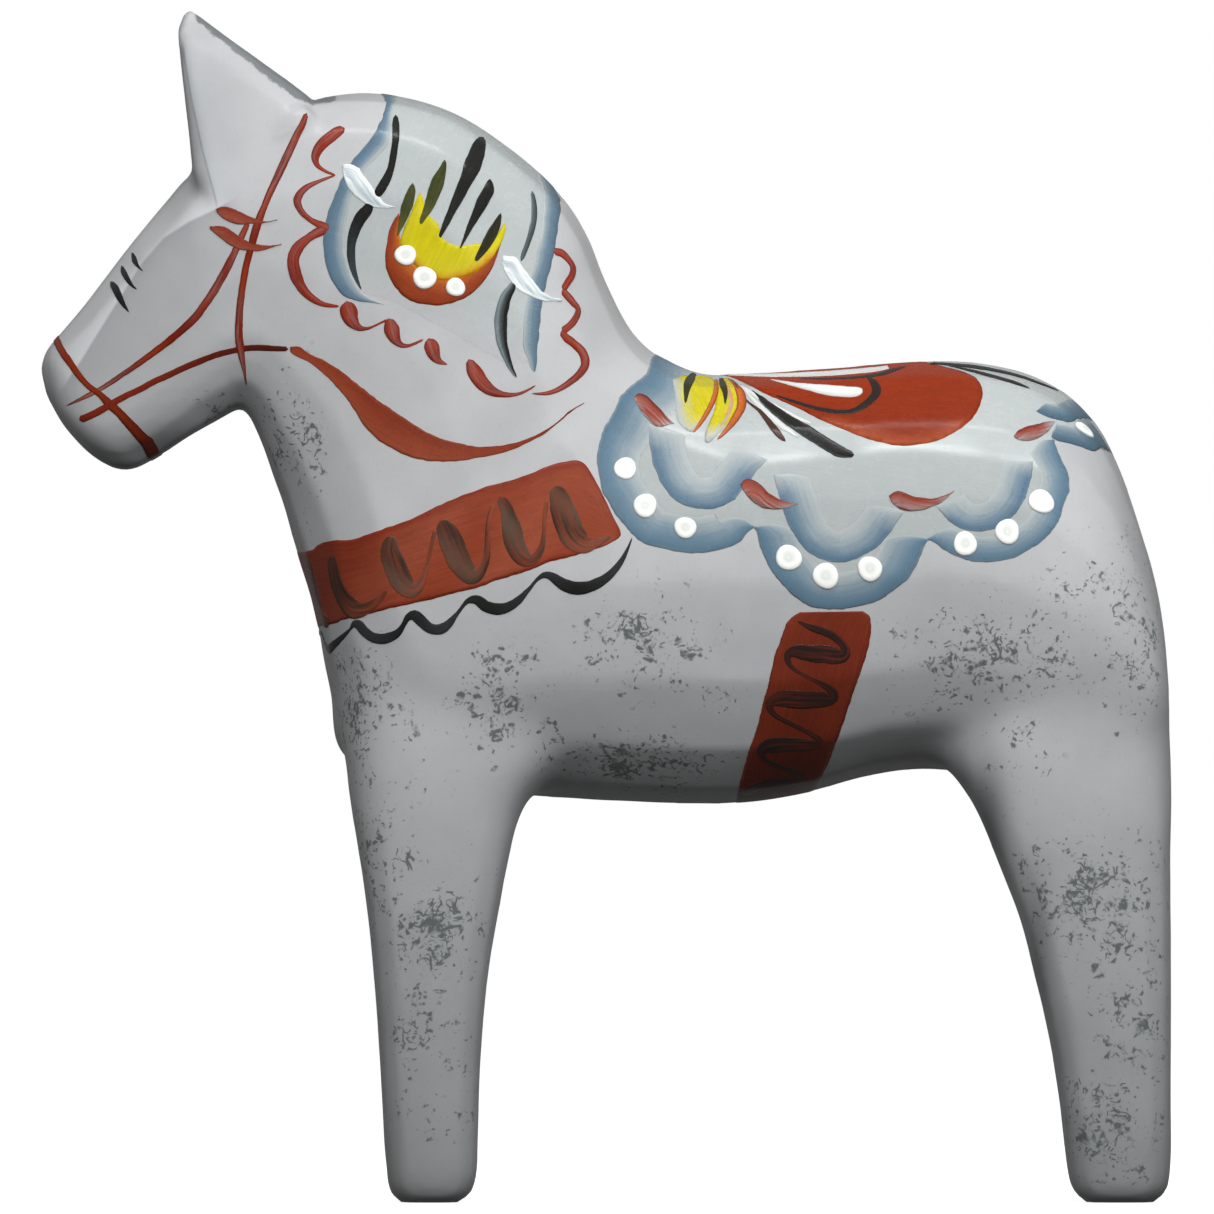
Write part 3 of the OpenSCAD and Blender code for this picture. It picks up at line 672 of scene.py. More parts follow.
            # rim higher than the middle, where the brush butt lifted off
            prof = (0.86 + 0.14 * np.clip(pr / 0.6, 0, 1) ** 2) * np.sqrt(np.clip(1 - np.clip((pr - 0.6) / 0.42, 0, 1) ** 2.2, 0.02, 1))
            prof += 0.07 * np.exp(-((pr - 0.12) / 0.14) ** 2)
            tris = [(0, 1 + k, 1 + (k + 1) % seg) for k in range(seg)]
            for j in range(rr - 1):
                for k in range(seg):
                    a, b = 1 + j * seg + k, 1 + j * seg + (k + 1) % seg
                    tris.append((a, a + seg, b + seg, b))
            rim = [(1 + (rr - 1) * seg + k, 1 + (rr - 1) * seg + (k + 1) % seg) for k in range(seg)]
            a, b, c = P[0], P[1], P[2]
            if np.dot(np.cross(b - a, c - a), N[0]) < 0:
                tris = [t[::-1] for t in tris]
                rim = [(q, p) for p, q in rim]
            colours = col(pr) if callable(col) else np.tile(np.asarray(col, float), (len(P), 1))
            brush = np.stack([pr * r * S, np.full(len(pr), sdn * 0.01), np.full(len(pr), sdn * 0.013)], axis=1)
            self.add(P, N, lift + h * prof, tris, rim, colours, brush)

    def make(self):
        me = bpy.data.meshes.new(self.name)
        v = np.concatenate(self.v)
        me.from_pydata(v.tolist(), [], self.f)
        me.update()
        colours = np.concatenate(self.c)
        at = me.attributes.new("paint", "FLOAT_COLOR", "POINT")
        at.data.foreach_set("color", colours.astype(np.float32).ravel())
        at = me.attributes.new("brush", "FLOAT_VECTOR", "POINT")
        at.data.foreach_set("vector", np.concatenate(self.b).astype(np.float32).ravel())
        flags = np.ones(len(me.polygons), bool)
        flags[self.wall] = False
        me.polygons.foreach_set("use_smooth", flags)
        ob = bpy.data.objects.new(self.name, me)
        bpy.context.scene.collection.objects.link(ob)
        me.materials.append(self.material)
        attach(ob, "root")
        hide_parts(*([self.node] if isinstance(self.node, str) else self.node))
        return ob


def to_outline(G, E):
    """Distance of each point of G to the closed outline E, and whether it is inside."""
    a, b = E, np.roll(E, -1, 0)
    dist = np.full(len(G), 1e9)
    cross = np.zeros(len(G), int)
    d = b - a
    L2 = (d * d).sum(1) + 1e-18
    for i in range(0, len(G), 2000):
        g = G[i:i + 2000, None, :]
        t = np.clip(((g - a[None]) * d[None]).sum(-1) / L2[None], 0, 1)
        q = a[None] + d[None] * t[..., None]
        dist[i:i + 2000] = np.sqrt(((g - q) ** 2).sum(-1)).min(1)
        yc = (a[None, :, 1] > g[..., 1]) != (b[None, :, 1] > g[..., 1])
        xi = a[None, :, 0] + (g[..., 1] - a[None, :, 1]) / np.where(np.abs(d[None, :, 1]) < 1e-15, 1e-15, d[None, :, 1]) * d[None, :, 0]
        cross[i:i + 2000] = (yc & (g[..., 0] < xi)).sum(1)
    return dist, cross % 2 == 1


def to_line(G, L):
    """Distance of each point of G to the open polyline L."""
    a, b = L[:-1], L[1:]
    d = b - a
    L2 = (d * d).sum(1) + 1e-18
    out = np.full(len(G), 1e9)
    for i in range(0, len(G), 2000):
        g = G[i:i + 2000, None, :]
        t = np.clip(((g - a[None]) * d[None]).sum(-1) / L2[None], 0, 1)
        q = a[None] + d[None] * t[..., None]
        out[i:i + 2000] = np.sqrt(((g - q) ** 2).sum(-1)).min(1)
    return out


def mix(a, b, t):
    t = np.clip(np.asarray(t, float), 0, 1)[..., None]
    return np.asarray(a, float) * (1 - t) + np.asarray(b, float) * t


def fade(*stops):
    """Colour along v (across) from (place, colour) stops."""
    pl = [s[0] for s in stops]
    cs = np.array([s[1] for s in stops], float)

    def f(A, V):
        return np.stack([np.interp(V, pl, cs[:, k]) for k in range(cs.shape[1])], axis=-1)
    return f


def cover(rgb, a):
    """Colour with how thickly the paint covers what is below, 0 to 1."""
    rgb = np.asarray(rgb, float)
    a = np.clip(np.asarray(a, float), 0, 1)
    if rgb.ndim == 1:
        rgb = np.broadcast_to(rgb, a.shape + (3,))
    return np.concatenate([rgb[..., :3], a[..., None]], axis=-1)


def fade_along(*stops):
    g = fade(*stops)
    return lambda A, V: g(V, A)


# ------------------------------------------------------------------ materials
def new_material(name):
    m = bpy.data.materials.new(name)
    m.use_nodes = True
    nt = m.node_tree
    nt.nodes.clear()
    out = nt.nodes.new("ShaderNodeOutputMaterial")
    bs = nt.nodes.new("ShaderNodeBsdfPrincipled")
    nt.links.new(bs.outputs["BSDF"], out.inputs["Surface"])
    return m, nt, bs


def node(nt, kind, **kw):
    n = nt.nodes.new(kind)
    for k, v in kw.items():
        if k.startswith("in_"):
            key = k[3:]
            n.inputs[int(key) if key.isdigit() else key.replace("_", " ")].default_value = v
        else:
            setattr(n, k, v)
    return n


def maths(nt, op, a, b=None, clamp=False):
    n = nt.nodes.new("ShaderNodeMath")
    n.operation = op
    n.use_clamp = clamp
    for i, x in enumerate((a, b)):
        if x is None:
            continue
        if isinstance(x, (int, float)):
            n.inputs[i].default_value = x
        else:
            nt.links.new(x, n.inputs[i])
    return n.outputs[0]


def ranged(nt, x, a, b, c=0.0, d=1.0, smooth=True):
    n = nt.nodes.new("ShaderNodeMapRange")
    n.interpolation_type = "SMOOTHSTEP" if smooth else "LINEAR"
    nt.links.new(x, n.inputs["Value"])
    n.inputs["From Min"].default_value = a
    n.inputs["From Max"].default_value = b
    n.inputs["To Min"].default_value = c
    n.inputs["To Max"].default_value = d
    return n.outputs["Result"]


def mixed(nt, fac, a, b, kind="MIX"):
    n = nt.nodes.new("ShaderNodeMix")
    n.data_type = "RGBA"
    n.blend_type = kind
    if isinstance(fac, (int, float)):
        n.inputs["Factor"].default_value = fac
    else:
        nt.links.new(fac, n.inputs["Factor"])
    for key, x in ((6, a), (7, b)):
        if isinstance(x, (tuple, list, np.ndarray)):
            n.inputs[key].default_value = (*[float(t) for t in x][:3], 1.0)
        else:
            nt.links.new(x, n.inputs[key])
    return n.outputs[2]


def noise(nt, vec, scale, detail=2.0, rough=0.5, dist=0.0):
    n = nt.nodes.new("ShaderNodeTexNoise")
    n.inputs["Scale"].default_value = scale
    n.inputs["Detail"].default_value = detail
    n.inputs["Roughness"].default_value = rough
    n.inputs["Distortion"].default_value = dist
    if vec is not None:
        nt.links.new(vec, n.inputs["Vector"])
    return n.outputs["Fac"]


def ground_colour(nt, co_, cloud):
    tone = noise(nt, co_, 55, 3.0, 0.55)
    grit = noise(nt, co_, 2100, 2.0, 0.7)
    base = mixed(nt, ranged(nt, tone, 0.35, 0.68), GROUND * 0.95, GROUND * 1.03)
    base = mixed(nt, maths(nt, "MULTIPLY", ranged(nt, grit, 0.52, 0.75, smooth=False), 0.22), base, GROUND * 0.72)
    return mixed(nt, maths(nt, "MULTIPLY", ranged(nt, cloud, 0.4, 0.7), 0.25), base, GROUND * 1.08)


def paint_material(name, streak=0.22, rough=0.3, bump=0.35, coarse=1.0, under=None, ragged=0.5, coat=0.3, spec=0.45):
    """Brushed paint under satin varnish: colour and cover from the stroke, streaks that follow the bristles."""
    m, nt, bs = new_material(name)
    at_ = node(nt, "ShaderNodeAttribute", attribute_name="paint")
    col = at_.outputs["Color"]
    br = node(nt, "ShaderNodeAttribute", attribute_name="brush").outputs["Vector"]
    st = nt.nodes.new("ShaderNodeVectorMath")
    st.operation = "MULTIPLY"
    st.inputs[1].default_value = (220 * coarse, 3600 * coarse, 900)
    nt.links.new(br, st.inputs[0])
    bristles = noise(nt, st.outputs[0], 1.0, 3.0, 0.6)
    coord = node(nt, "ShaderNodeTexCoord").outputs["Object"]
    clouds = noise(nt, coord, 420, 3.0, 0.6)
    cloud = noise(nt, coord, 260, 3.0, 0.6)
    fine = noise(nt, coord, 2600, 2.0, 0.5)
    val = maths(nt, "ADD", maths(nt, "MULTIPLY", maths(nt, "SUBTRACT", bristles, 0.5), streak * 2.2), maths(nt, "MULTIPLY", maths(nt, "SUBTRACT", clouds, 0.5), streak))
    gain = maths(nt, "ADD", val, 1.0)
    rgb = nt.nodes.new("ShaderNodeVectorMath")
    rgb.operation = "SCALE"
    nt.links.new(col, rgb.inputs[0])
    nt.links.new(gain, rgb.inputs["Scale"])
    a_ = at_.outputs["Alpha"]
    mid = maths(nt, "MULTIPLY", maths(nt, "MULTIPLY", a_, maths(nt, "SUBTRACT", 1.0, a_)), 4.0)
    a2 = maths(nt, "ADD", a_, maths(nt, "MULTIPLY", mid, maths(nt, "MULTIPLY", maths(nt, "SUBTRACT", bristles, 0.5), ragged * 3.0)), clamp=True)
    below = ground_colour(nt, coord, cloud) if under is None else under
    colour = mixed(nt, a2, below, rgb.outputs[0])
    nt.links.new(colour, bs.inputs["Base Color"])
    r = maths(nt, "ADD", maths(nt, "MULTIPLY", clouds, 0.14), rough - 0.07)
    nt.links.new(r, bs.inputs["Roughness"])
    bs.inputs["Coat Weight"].default_value = coat
    bs.inputs["Coat Roughness"].default_value = 0.18
    bs.inputs["Specular IOR Level"].default_value = spec
    b = nt.nodes.new("ShaderNodeBump")
    b.inputs["Strength"].default_value = bump
    b.inputs["Distance"].default_value = 0.00008
    hsum = maths(nt, "ADD", maths(nt, "MULTIPLY", bristles, 1.0), maths(nt, "MULTIPLY", fine, 0.25))
    nt.links.new(hsum, b.inputs["Height"])
    nt.links.new(b.outputs["Normal"], bs.inputs["Normal"])
    return m


GROUND = srgb(186, 187, 189)
FIELD = srgb(175, 181, 181)


def body_material():
    """Pale grey ground coat, dabbed with a sponge in dark grey-green, under satin varnish; brush and knife show faintly."""
    m, nt, bs = new_material("sponged_ground")
    co_ = node(nt, "ShaderNodeTexCoord").outputs["Object"]
    mask = node(nt, "ShaderNodeAttribute", attribute_name="sponge").outputs["Fac"]
    cloud = noise(nt, co_, 260, 3.0, 0.6)
    base = ground_colour(nt, co_, cloud)
    # sponge marks: short worm-like flecks, crowded where the mask is high
    def worms(scale, shift, width):
        mp = node(nt, "ShaderNodeMapping")
        mp.inputs["Location"].default_value = shift
        nt.links.new(co_, mp.inputs["Vector"])
        n = noise(nt, mp.outputs[0], scale, 1.5, 0.5, 0.9)
        ridge = maths(nt, "ABSOLUTE", maths(nt, "SUBTRACT", n, 0.5))
        cut = noise(nt, mp.outputs[0], scale * 2.5, 1.5, 0.5)
        return ranged(nt, ridge, width * 1.1, width * 0.15), cut
    w1, cut1 = worms(360, (0.013, 0.031, 0.007), 0.066)
    w2, cut2 = worms(520, (0.051, 0.017, 0.023), 0.068)
    w3, cut3 = worms(900, (0.091, 0.047, 0.013), 0.07)
    patch = noise(nt, co_, 230, 2.0, 0.6)
    dens = maths(nt, "ADD", maths(nt, "MULTIPLY", mask, 0.31), maths(nt, "MULTIPLY", maths(nt, "SUBTRACT", patch, 0.5), 0.7))
    fleck = None
    for w, cut, off in ((w1, cut1, 0.60), (w2, cut2, 0.62), (w3, cut3, 0.74)):
        on = maths(nt, "SUBTRACT", maths(nt, "ADD", cut, dens), off + 0.11)
        f = maths(nt, "MULTIPLY", w, ranged(nt, on, 0.0, 0.13))
        fleck = f if fleck is None else maths(nt, "MAXIMUM", fleck, f)
    fleck = maths(nt, "MULTIPLY", fleck, ranged(nt, mask, 0.03, 0.25))
    halo = maths(nt, "MULTIPLY", ranged(nt, dens, 0.12, 0.36), ranged(nt, cut2, 0.45, 0.62, 0.0, 0.55))
    base = mixed(nt, halo, base, srgb(188, 192, 191))
    shade = maths(nt, "MULTIPLY", ranged(nt, dens, 0.2, 0.55), 0.16)
    base = mixed(nt, shade, base, srgb(110, 118, 116))
    base = mixed(nt, maths(nt, "MULTIPLY", fleck, 0.85), base, srgb(76, 86, 83))
    # darker towards the ground: painted shade of the lower body and legs under the top light, with some dust
    sep = node(nt, "ShaderNodeSeparateXYZ")
    nt.links.new(co_, sep.inputs[0])
    low_shade_and_dust = ranged(nt, sep.outputs[2], 0.0, 0.095, 0.42, 0.0, smooth=False)
    base = mixed(nt, low_shade_and_dust, base, srgb(86, 96, 94))
    # darker strip along the back of the ears: painted shade of the back chamfer, with some rubbed wear
    ear_back_shade_and_wear = node(nt, "ShaderNodeAttribute", attribute_name="ear_back_shade_and_wear").outputs["Fac"]
    nick = noise(nt, co_, 900, 3.0, 0.65)
    arris_tone = maths(nt, "MULTIPLY", ranged(nt, maths(nt, "ADD", ear_back_shade_and_wear, maths(nt, "MULTIPLY", maths(nt, "SUBTRACT", nick, 0.5), 0.9)), 0.45, 0.75), 0.85)
    base = mixed(nt, arris_tone, base, srgb(98, 103, 105))
    # painted light on the planed edges of the head: the nose plane is painted pale as a highlight, and the cheek beside
    # it is painted darker as shade
    fold = node(nt, "ShaderNodeAttribute", attribute_name="fold").outputs["Fac"]
    reach = node(nt, "ShaderNodeAttribute", attribute_name="fold_light_reach").outputs["Fac"]
    cheek_side = ranged(nt, fold, -1.8, 1.8)
    base = mixed(nt, maths(nt, "MULTIPLY", maths(nt, "MULTIPLY", cheek_side, reach), 0.40), base, srgb(126, 131, 134))
    base = mixed(nt, maths(nt, "MULTIPLY", maths(nt, "MULTIPLY", maths(nt, "SUBTRACT", 1.0, cheek_side), reach), 0.55), base, srgb(226, 230, 232))
    # the ear's front chamfer is painted lighter as a highlight, with a thin line of painted shade along its crease
    arris = node(nt, "ShaderNodeAttribute", attribute_name="arris").outputs["Fac"]
    arris_r = node(nt, "ShaderNodeAttribute", attribute_name="arris_reach").outputs["Fac"]
    painted_crease_shade = maths(nt, "MULTIPLY", ranged(nt, maths(nt, "ABSOLUTE", arris), 1.7, 0.5), arris_r)
    front = maths(nt, "MULTIPLY", ranged(nt, arris, 0.5, -1.0), arris_r)
    base = mixed(nt, maths(nt, "MULTIPLY", front, 0.35), base, srgb(214, 221, 226))
    base = mixed(nt, maths(nt, "MULTIPLY", painted_crease_shade, 0.5), base, srgb(124, 134, 142))
    # painted shade under the jaw and throat, at the ear root and along the inner edges of the hind leg
    painted_shade = node(nt, "ShaderNodeAttribute", attribute_name="painted_shade").outputs["Fac"]
    base = mixed(nt, maths(nt, "MULTIPLY", painted_shade, 0.7, clamp=True), base, srgb(62, 68, 70))
    nt.links.new(base, bs.inputs["Base Color"])
    nt.links.new(maths(nt, "ADD", maths(nt, "MULTIPLY", cloud, 0.16), 0.26), bs.inputs["Roughness"])
    bs.inputs["Coat Weight"].default_value = 0.3
    bs.inputs["Coat Roughness"].default_value = 0.2
    bs.inputs["Specular IOR Level"].default_value = 0.45
    grain = node(nt, "ShaderNodeMapping")
    grain.inputs["Scale"].default_value = (90, 1400, 1400)
    nt.links.new(co_, grain.inputs["Vector"])
    g = noise(nt, grain.outputs[0], 1.0, 3.0, 0.6)
    b = nt.nodes.new("ShaderNodeBump")
    b.inputs["Strength"].default_value = 0.28
    b.inputs["Distance"].default_value = 0.00008
    hs = maths(nt, "ADD", maths(nt, "MULTIPLY", g, 0.55), maths(nt, "ADD", maths(nt, "MULTIPLY", cloud, 0.6), maths(nt, "MULTIPLY", fleck, 0.35)))
    nt.links.new(hs, b.inputs["Height"])
    nt.links.new(b.outputs["Normal"], bs.inputs["Normal"])
    return m


SPONGE = [
    (290, 440, 34, 75, 0.72), (300, 500, 30, 40, 0.5), (362, 700, 40, 65, 0.9), (372, 850, 36, 90, 0.6), (420, 760, 40, 40, 0.4),
    (500, 700, 40, 55, 1.0), (545, 740, 35, 30, 0.6), (655, 640, 66, 50, 0.9), (640, 762, 80, 34, 1.0), (720, 700, 40, 30, 0.4),
    (985, 655, 90, 55, 0.9), (905, 640, 30, 30, 0.6), (1010, 740, 45, 70, 0.5), (1130, 640, 36, 90, 0.8), (1090, 580, 40, 50, 0.5),
    (1100, 900, 62, 66, 1.15), (1130, 1010, 40, 80, 0.8), (1105, 1120, 48, 60, 0.9), (1040, 880, 30, 50, 0.7),
    (435, 930, 46, 52, 1.2), (425, 1030, 44, 70, 0.62), (440, 1110, 40, 40, 0.5), (395, 880, 24, 60, 0.7), (480, 860, 24, 30, 0.4),
    (225, 415, 40, 22, 0.5),
]
sponge = np.zeros(nv)
for u, v, ru, rv, k in SPONGE:
    sponge = np.maximum(sponge, k * blob(co, u, v, ru, rv))
# darker strip along the back arris of the ears: painted shade of the back chamfer, with some rubbed wear
edge_line = np.array([(202, 18), (222, 34), (250, 56), (275, 76), (296, 92), (312, 99), (330, 97)], float)
uv_body = np.stack([co[:, 0] / S + 606, 1201 - co[:, 2] / S], axis=1)
near = (uv_body[:, 1] < 130) & (uv_body[:, 0] < 345)
ear_back_shade_and_wear = np.zeros(nv)
ed_ = edge_line
dd_ = np.full(near.sum(), 1e9)
for p_, q_ in zip(ed_[:-1], ed_[1:]):
    t_ = np.clip(((uv_body[near] - p_) @ (q_ - p_)) / ((q_ - p_) @ (q_ - p_)), 0, 1)
    dd_ = np.minimum(dd_, np.linalg.norm(uv_body[near] - (p_ + t_[:, None] * (q_ - p_)), axis=1))
ear_back_shade_and_wear[near] = np.clip(1.25 - dd_ / 9.0, 0, 1)


def signed(uv, L, a_side, b_side, ends):
    """Signed distance of drawing points to a polyline, and how strongly the line acts there."""
    L = np.array(L, float)
    best, sgn, at_ = np.full(len(uv), 1e9), np.ones(len(uv)), np.zeros(len(uv))
    run = 0.0
    for p, q in zip(L[:-1], L[1:]):
        d = q - p
        ln = np.linalg.norm(d)
        t = np.clip(((uv - p) @ d) / (ln * ln), 0, 1)
        r = uv - (p + t[:, None] * d)
        k = np.linalg.norm(r, axis=1)
        side_ = np.sign(d[0] * (uv[:, 1] - p[1]) - d[1] * (uv[:, 0] - p[0]))
        m = k < best
        best[m], sgn[m], at_[m] = k[m], side_[m], (run + t * ln)[m]
        run += ln
    dist = best * sgn
    w = np.where(dist > 0, np.exp(-best / a_side), np.exp(-best / b_side))
    w = w * np.clip(at_ / ends[0], 0, 1) * np.clip((run - at_) / ends[1], 0, 1)
    return np.clip(dist, -80, 80), w


# folds of the head and ear, along which the ground colour carries painted highlight and painted shade
HEAD_FOLD = [(58, 396), (82, 360), (108, 318), (142, 264), (165, 238), (190, 222), (216, 210), (236, 198)]
EAR_FOLD = [(183, 40), (185, 58), (192, 100), (203, 150), (216, 199), (219, 212)]
fold, fold_light_reach = signed(uv_body, HEAD_FOLD, 42, 24, (26, 18))
arris, arris_reach = signed(uv_body, EAR_FOLD, 8, 30, (14, 14))
# painted shade: dark patches under the jaw and throat, at the ear root and along the inner edges of the hind leg
painted_shade = np.zeros(nv)
for u, v, ru, rv, k in ((205, 120, 48, 70, 0.3), (188, 450, 62, 24, 1.2), (135, 474, 50, 20, 1.0), (232, 424, 30, 24, 0.9), (96, 462, 34, 20, 0.6), (985, 850, 20, 90, 1.1), (1035, 990, 14, 90, 0.8), (950, 790, 30, 32, 0.9), (1052, 1110, 10, 80, 0.4)):
    painted_shade = np.maximum(painted_shade, k * blob(co, u, v, ru, rv))
for key, val in (("fold", fold), ("fold_light_reach", fold_light_reach), ("arris", arris), ("arris_reach", arris_reach), ("painted_shade", painted_shade)):
    at = body_mesh.attributes.new(key, "FLOAT", "POINT")
    at.data.foreach_set("value", val.astype(np.float32))
at = body_mesh.attributes.new("ear_back_shade_and_wear", "FLOAT", "POINT")
at.data.foreach_set("value", ear_back_shade_and_wear.astype(np.float32))
at = body_mesh.attributes.new("sponge", "FLOAT", "POINT")
at.data.foreach_set("value", sponge.astype(np.float32))
body_mesh.materials.append(body_material())
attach(body, "root")
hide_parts("carved_body")

# ------------------------------------------------------------------ colours of the paints
BLACK, GREY_K = srgb(28, 28, 26), srgb(74, 82, 84)
WHITE = srgb(226, 231, 228)
YELLOW, ORANGE, OLIVE = srgb(200, 188, 4), srgb(190, 92, 18), srgb(70, 74, 20)
BROWN, BROWN_K = srgb(74, 46, 40), srgb(38, 28, 26)

M_FIELD = paint_material("paint_pale_field", streak=0.06, rough=0.27, bump=0.2, ragged=0.3)
M_BLUE = paint_material("paint_blue", streak=0.05, rough=0.28, bump=0.14, coarse=0.6, under=FIELD, ragged=0.25)
M_BLACK = paint_material("paint_black", streak=0.5, rough=0.26, bump=0.4, under=FIELD, ragged=1.0)
M_WHITE = paint_material("paint_white", streak=0.06, rough=0.3, bump=0.35, under=srgb(150, 168, 178), ragged=0.8)
M_RED = paint_material("paint_red", streak=0.24, rough=0.27, bump=0.35, ragged=0.8, coat=0.12, spec=0.3)
M_TASSEL = paint_material("paint_rust_leaves", streak=0.26, rough=0.28, bump=0.4, coarse=0.8, under=FIELD, ragged=0.8)
M_RUST = paint_material("paint_rust", streak=0.26, rough=0.28, bump=0.4, coarse=0.7, ragged=0.8, coat=0.15, spec=0.3)
M_CUP = paint_material("paint_flower_cup", streak=0.26, rough=0.28, bump=0.4, under=FIELD)
M_YELLOW = paint_material("paint_yellow", streak=0.24, rough=0.28, bump=0.4, under=FIELD, ragged=1.0)
M_BROWN = paint_material("paint_brown_glaze", streak=0.3, rough=0.27, bump=0.4, coarse=0.6, under=srgb(144, 67, 44), ragged=1.0, coat=0.15, spec=0.3)
M_BROWN_G = paint_material("paint_brown_girth", streak=0.4, rough=0.27, bump=0.4, coarse=0.8, under=srgb(108, 40, 24), ragged=1.2)
M_SEATLINE = paint_material("paint_brown_line", streak=0.4, rough=0.27, bump=0.4, under=srgb(156, 48, 6), ragged=1.2)
M_OLIVE = paint_material("paint_olive", streak=0.4, rough=0.27, bump=0.4, under=YELLOW, ragged=1.0)

# ------------------------------------------------------------------ saddle group
OUTER = [
    [(656, 349), (652, 358), (648, 370), (643, 377), (632, 385), (622, 395), (617, 405), (610, 418), (603, 430), (599, 445), (597, 460), (599, 475),
     (602, 490), (609, 503), (616, 515), (626, 527), (636, 538), (648, 545), (665, 549), (680, 552), (700, 553), (715, 551), (730, 547), (740, 542), (747, 532), (754, 527)],
    [(754, 527), (757, 535), (760, 548), (765, 560), (772, 572), (780, 582), (790, 593), (800, 601), (812, 607), (825, 609), (840, 609), (855, 607),
     (870, 603), (880, 599), (890, 592), (900, 585), (908, 577), (915, 565), (922, 550), (927, 539)],
    [(927, 539), (935, 544), (945, 551), (955, 556), (970, 561), (985, 562), (1000, 561), (1015, 557), (1030, 548), (1040, 542), (1050, 532), (1058, 520),
     (1062, 505), (1068, 490), (1067, 475), (1063, 465), (1058, 455), (1052, 440)],
    [(1052, 440), (1060, 442), (1080, 447), (1098, 452), (1109, 452)],
]
outline = [(660, 346)] + [p for s in OUTER for p in s[:-1]] + [OUTER[-1][-1], (1114, 452)]
ARRIS = [(596, 414), (622, 418), (648, 426), (672, 438), (696, 448), (725, 458), (754, 462), (800, 458), (845, 454), (880, 449), (909, 447), (945, 450), (983, 455), (1015, 461), (1046, 468), (1080, 480)]
arris_x, arris_z = X([q[0] for q in ARRIS]), Z([q[1] for q in ARRIS])


def field_col(ab, dist, P):
    # painted light on the saddle facets: lighter above the arris and darker below it, with a painted highlight along
    # the arris
    up = P[:, 2] - np.interp(P[:, 0], arris_x, arris_z)
    base = mix(FIELD * 0.93, FIELD * 1.05, np.clip(up / 0.0022 + 0.5, 0, 1))
    arris_tone = np.exp(-((up - 0.0002) / 0.00055) ** 2) + 0.45 * np.exp(-((up - 0.0014) / 0.0016) ** 2)
    arris_tone = arris_tone * (0.55 + 0.45 * noise1(P[:, 0], 811, 0.004))
    return mix(base, srgb(226, 232, 232), np.clip(arris_tone, 0, 1) * 0.75)


blanket = Film("saddle_blanket_field", "saddle_blanket", "pale_field_paint", M_FIELD)
blanket.region(outline, field_col, chart=BARREL, h=0.00005, spacing=0.00062, over=True, k=2, guide=(1, 0.2), rough=0.0)
blanket.make()

scallops = Film("blanket_scallop_borders", "blanket_scallops", "blue_paint", M_BLUE)


def band(film, pts, depth, cols, chart=BARREL, h=0.00009, h_in=0.00004, inward=1, seed=0, rows=15, k=4, bristle=0.00007, soft=0.0, ends=(1, 1)):
    """A wide stroke laid with its dark side along pts, fading out depth grid units to one side."""
    E = chart.to2(*np.asarray(pts, float).T)
    E = catmull(E, k)
    E = resample(E, 0.0004)
    T = np.gradient(E, axis=0)
    for _ in range(8):
        T[1:-1] = (T[:-2] + 2 * T[1:-1] + T[2:]) / 4
    T /= np.linalg.norm(T, axis=1)[:, None]
    Nn = np.stack([-T[:, 1], T[:, 0]], axis=1) * inward
    n = len(E)
    al = np.arange(n) * 0.0004
    r = np.linspace(0, 1, rows) ** 1.15
    a01 = np.linspace(0, 1, n)
    dd = depth * S * np.clip(np.minimum((a01 / 0.06 + 1 - ends[0]) ** 0.5, ((1 - a01) / 0.06 + 1 - ends[1]) ** 0.5), 0.02, 1)
    for sd in (1, -1):
        q = film.seed + seed * 19 + (4 if sd < 0 else 0)
        jag = bristle * noise1(al, q, 0.0005) + bristle * 0.7 * noise1(al, q + 1, 0.0016)
        G = E[None] + Nn[None] * (dd[None, :] * r[:, None] + jag[None, :] * ((1 - r) ** 3)[:, None])[..., None]
        P, N = chart.to3(G.reshape(-1, 2), sd)
        hh = np.interp(r, [0, 0.08, 0.3, 0.9, 1], [h * 0.5, h, h, 0.000056, h_in])[:, None] * np.ones(n)[None]
        Vw = np.tile(r[:, None], (1, n)) + 0.07 * noise1(al, q + 2, 0.003)[None] * np.sin(np.pi * np.clip(r, 0, 1))[:, None]
        colour = cols(np.tile(a01[None], (rows, 1)), np.clip(Vw, 0, 1))
        if soft:
            colour[..., 3] *= np.clip(np.minimum(a01, 1 - a01) / soft, 0, 1)[None] ** 0.8
        brush = np.stack([np.tile(al[None], (rows, 1)), np.tile((r * depth * S)[:, None], (1, n)) + q * 0.01, np.full((rows, n), q * 0.013)], axis=-1)
        film.grid(P.reshape(rows, n, 3), N.reshape(rows, n, 3), hh, colour, brush)


BL = lambda r, g, b, a: (*srgb(r, g, b), a)
outer_fade = fade((0, BL(84, 112, 131, 0.6)), (0.05, BL(86, 114, 134, 1)), (0.25, BL(92, 121, 141, 0.95)), (0.5, BL(98, 126, 145, 0.74)), (0.75, BL(100, 128, 146, 0.38)), (0.93, BL(100, 128, 146, 0)), (1, BL(100, 128, 146, 0)))
inner_fade = fade((0, BL(80, 110, 132, 0.6)), (0.06, BL(80, 110, 134, 1)), (0.3, BL(90, 119, 140, 0.8)), (0.6, BL(98, 126, 145, 0.40)), (0.93, BL(100, 128, 146, 0)), (1, BL(100, 128, 146, 0.0)))
for i, s in enumerate(OUTER[:3]):
    band(scallops, s, (44, 44, 30)[i], outer_fade, seed=i, h=0.00009 + 0.000012 * (i % 2), inward=-1, ends=(0 if i == 0 else 1, 1))
